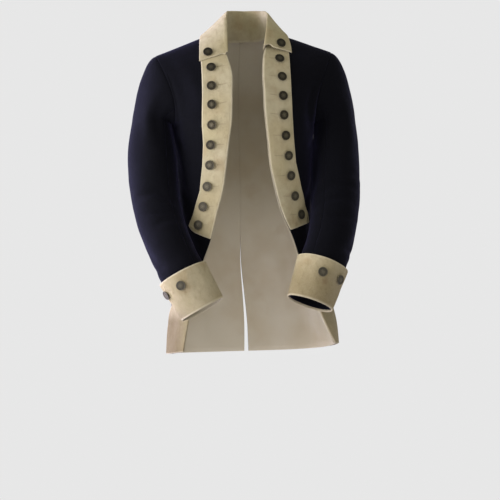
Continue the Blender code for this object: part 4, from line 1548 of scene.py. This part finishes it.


# %% [markdown]
# ## Buff wool
# The facings are the same kind of cloth in a pale, uneven buff, aged in faint yellow, green and brown
# stains and darker where metal has touched it. Painted shade darkens the cuffs and skirts towards the
# hem, more on the coat's left side, which is turned from the key light, and at the far right, where
# the turnback lies in shadow. Several soft noises at different scales lay one colour over another; the
# weave shows a little, because the nap has worn, and the rolled edges are rubbed paler.

# %% Buff wool
CUFF_STAIN = (171.0, -190.0, -566.0)
CUFF_HOLE = (88.0, -195.0, -576.0)
CUFF_SLIT = (-154.7, -200.0, -592.0)


def buff_wool():
    """Return the finish of the facings."""
    maker = Maker("buff wool")
    wide = maker.noise(7.0, 3.0).ramp(0.38, 0.66)
    green = maker.noise(16.0, 4.0, stretch=(1.0, 1.0, 0.6)).ramp(0.50, 0.70)
    brown = maker.noise(24.0, 6.0).ramp(0.54, 0.76)
    mottled = maker.noise(95.0, 5.0, stretch=(1.0, 1.0, 0.7)).ramp(0.42, 0.68)
    specks = maker.noise(170.0, 2.0).ramp(0.66, 0.80)
    nap = maker.noise(800.0, 2.0)
    threads = weave(maker, 0.0009)
    to_left = maker.part(0)
    to_right = 0 - to_left
    down = 0 - maker.part(2)
    # Painted shade: low, hem and sides darken the buff towards the hem, more on the coat's left side,
    # which is turned from the key light, and at the far right, where the turnback lies in shadow.
    low = down.ramp(0.46, 0.64)
    hem = down.ramp(0.62, 0.67)
    sides = to_left.ramp(0.08, 0.16) * 0.25 + to_right.ramp(0.12, 0.17) * 0.62
    # Painted shade on the coat's left cuff and lower skirt, the side turned from the key light.
    far_side_shade = to_left.ramp(0.05, 0.11) * down.ramp(0.50, 0.57)
    near, far = maker.cloth_map("edges")
    rolled = 1 - near.math("MINIMUM", far).ramp(0.0010, 0.0040)
    base = maker.lay(
        maker.mix(wide, srgb(168, 157, 125), srgb(161, 147, 109)),
        (green * 0.34, (146, 140, 100)),
        (brown * 0.5, (138, 114, 76)),
        (mottled * 0.22, (120, 106, 72)),
        (specks * 0.3, (104, 84, 54)),
        # Painted shade, darker towards the hem.
        (low * 0.3, (96, 78, 46)),
        (maker.spot(CUFF_SLIT, 1.0, 5.0) * 0.5, (92, 72, 44)),
        # Painted shade on the coat's left cuff, kept off the hem.
        (far_side_shade * (1 - hem) * 0.5, (92, 76, 42)),
        # Painted shade, strongest at the hem, on the coat's left side and at the far right.
        ((low * 0.4 + hem * 1.3).math("MINIMUM", 1.6) * sides, (74, 60, 33)),
        (maker.spot(CUFF_STAIN, 3.0, 9.0) * 0.6, (96, 72, 42)),
        (maker.spot(CUFF_HOLE, 0.8, 0.8), (30, 26, 20)),
        (nap.ramp(0.3, 0.7) * 0.24, (174, 165, 132)),
        ((1 - threads) * 0.2, (108, 97, 68)),
        (rolled * 0.4, (188, 178, 150)),
    )
    crumple = maker.noise(38.0, 4.0) * 9.0 + mottled * 1.0
    return maker.finish({
        "Base Color": base, "Roughness": 0.84 + nap * 0.12, "Specular IOR Level": 0.1,
        "Sheen Weight": 0.03, "Sheen Roughness": 0.5, "Sheen Tint": srgb(246, 238, 220),
    }, threads * 0.7 + nap * 0.9 + crumple, 0.0005, 0.85)


# %% [markdown]
# ## Lining and thread
# The lining is a thin cream twill, a little shiny along its diagonal ribs. The thread of the
# buttonholes and edge stitches is waxed and twisted, so it is a touch darker and smoother than wool.

# %% Lining and thread
def cream_lining():
    """Return the finish of the lining."""
    maker = Maker("cream lining")
    across, along = maker.cloth_map("cloth")
    ribs = ((across + along) * (math.tau / 0.0016)).math("SINE") * 0.5 + 0.5
    wide = maker.noise(8.0, 3.0).ramp(0.35, 0.7)
    stain = maker.noise(19.0, 4.0).ramp(0.58, 0.75)
    base = maker.lay(
        maker.mix(wide, srgb(176, 167, 140), srgb(166, 154, 124)),
        (stain * 0.2, (148, 130, 96)),
        ((1 - ribs) * 0.12, (120, 108, 82)),
    )
    return maker.finish(
        {"Base Color": base, "Roughness": 0.62 + wide * 0.12, "Specular IOR Level": 0.3},
        ribs * 0.5 + maker.noise(60.0, 3.0) * 1.5, 0.0004, 0.6)


def thread():
    """Return the finish of the sewing thread."""
    maker = Maker("waxed thread")
    twist = maker.noise(2200.0, 1.0, stretch=(1.0, 1.0, 0.3))
    base = maker.mix(twist.ramp(0.3, 0.7), srgb(112, 98, 66), srgb(138, 124, 90))
    return maker.finish({"Base Color": base, "Roughness": 0.6}, twist, 0.0002, 0.6)


# %% [markdown]
# ## Aged metal
# The buttons are pewter or brass gone brown: dull and dark in the hollows, rubbed pale on the rim and
# the relief, with spots of green-brown tarnish. The height on the button itself says what is rubbed,
# and each button's own place makes its tone a little different from its neighbours': the upper ones
# are darker and the lower ones paler.

# %% Button metal
def aged_metal():
    """Return the finish of the buttons."""
    maker = Maker("aged metal")
    rubbed = maker.part(2).ramp(0.0035, 0.0041)
    spots = maker.noise(700.0, 4.0).ramp(0.40, 0.66)
    where = maker.node("ShaderNodeObjectInfo").outputs["Location"]
    tone = maker.noise(21.0, 1.0, vector=where).ramp(0.3, 0.7)
    height = maker.split(where, 2)
    dark = maker.mix(tone, srgb(30, 25, 13), srgb(42, 36, 21))
    pale = maker.mix(tone, srgb(88, 81, 60), srgb(108, 100, 78))
    base = maker.lay(
        maker.mix(rubbed * (1 - spots * 0.5), dark, pale),
        ((0 - height).ramp(0.18, 0.46) * 0.3, (104, 99, 84)),
        (spots * 0.4, (46, 43, 28)),
        (height.ramp(-0.24, -0.04) * 0.5, (28, 25, 14)),
    )
    return maker.finish({
        "Base Color": base, "Metallic": 0.88 - spots * 0.3,
        "Roughness": 0.6 - rubbed * 0.12 + spots * 0.16,
    }, spots * 0.6 + maker.noise(1500.0, 2.0) * 0.5, 0.00018, 0.6)


MATERIALS = {
    "navy_wool": navy_wool(),
    "buff_wool": buff_wool(),
    "cream_lining": cream_lining(),
    "thread": thread(),
    "aged_metal": aged_metal(),
}
BUTTON.materials.append(MATERIALS["aged_metal"])
for item, finish in FINISHES.items():
    if item.data != BUTTON:
        item.data.materials.append(MATERIALS[finish])
print(len(MATERIALS), "finishes on", len(FINISHES), "pieces")

# %% [markdown]
# ## Floor, light and camera
# The coat is seen from straight in front, a little to its right, by a long lens far away, so its
# sides hardly converge. A pale floor lies well below it and the world behind is plain pale grey,
# which lights it softly from all round. A big soft box on the left gives the facings their shape, and
# one behind it catches the nap along the sleeve.

# %% Studio
SCALE = 2.35
FRAME_PIXELS = 500
AZIMUTH = math.radians(-6.0)
VIEW_CENTRE = Vector((16.0, 0.0, -493.0)) * MM
LIT_CENTRE = Vector((0, 0, -0.35))
LENS = 600.0
SENSOR = 36.0
FAR_CLIP = 100.0
GREY = 0.80
FLOOR_HEIGHT = -1.45
FLOOR_RADIUS = 9.0
FLOOR_SIDES = 96
scene = bpy.context.scene


def soft_box(name, place, size, power, colour):
    """Add an area light that faces the coat."""
    light = bpy.data.lights.new(name, "AREA")
    light.shape = "RECTANGLE"
    light.size, light.size_y = size
    light.energy = power
    light.color = colour
    item = add_object(name, light)
    item.location = place
    item.rotation_euler = (LIT_CENTRE - item.location).to_track_quat("-Z", "Y").to_euler()


soft_box("key light", (-1.86, -0.5, -0.15), (1.7, 1.6), 84.0, (0.98, 0.98, 1.16))
soft_box("edge light", (-1.9, 0.8, 0.0), (0.8, 2.0), 135.0, (0.58, 0.54, 1.0))
world = bpy.data.worlds.new("studio")
world.use_nodes = True
world.node_tree.nodes["Background"].inputs["Color"].default_value = (GREY, GREY, GREY, 1.0)
world.node_tree.nodes["Background"].inputs["Strength"].default_value = 1.0
scene.world = world

floor_maker = Maker("pale floor")
floor_maker.shader.inputs["Base Color"].default_value = srgb(236, 236, 236)
floor_maker.shader.inputs["Roughness"].default_value = 0.9
floor_mesh = bpy.data.meshes.new("floor")
shape = bmesh.new()
bmesh.ops.create_circle(shape, cap_ends=True, segments=FLOOR_SIDES, radius=FLOOR_RADIUS)
bmesh.ops.translate(shape, verts=shape.verts, vec=(0, 0, FLOOR_HEIGHT))
shape.to_mesh(floor_mesh)
shape.free()
floor = add_object("floor", floor_mesh)
floor_mesh.materials.append(floor_maker.material)
floor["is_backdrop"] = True

camera_data = bpy.data.cameras.new("camera")
camera_data.lens = LENS
camera_data.sensor_width = SENSOR
camera_data.clip_end = FAR_CLIP
camera = add_object("camera", camera_data)
distance = SCALE * MM * FRAME_PIXELS / SENSOR * LENS
back = Vector((math.sin(AZIMUTH), -math.cos(AZIMUTH), 0.0))
camera.location = VIEW_CENTRE + back * distance
camera.rotation_euler = (-back).to_track_quat("-Z", "Y").to_euler()
scene.camera = camera
scene.view_settings.view_transform = "Standard"
print("camera stands", round(distance, 2), "m away")

# %% [markdown]
# ## Size
# Cloth may stand a little proud of its solid but never changes the coat's size; the box round
# everything shown is printed.

# %% Sizes, then finish
bpy.context.view_layer.update()
SEEN_BOX = [list(corner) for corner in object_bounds()]
print("visual box", [[round(v, 4) for v in corner] for corner in SEEN_BOX])
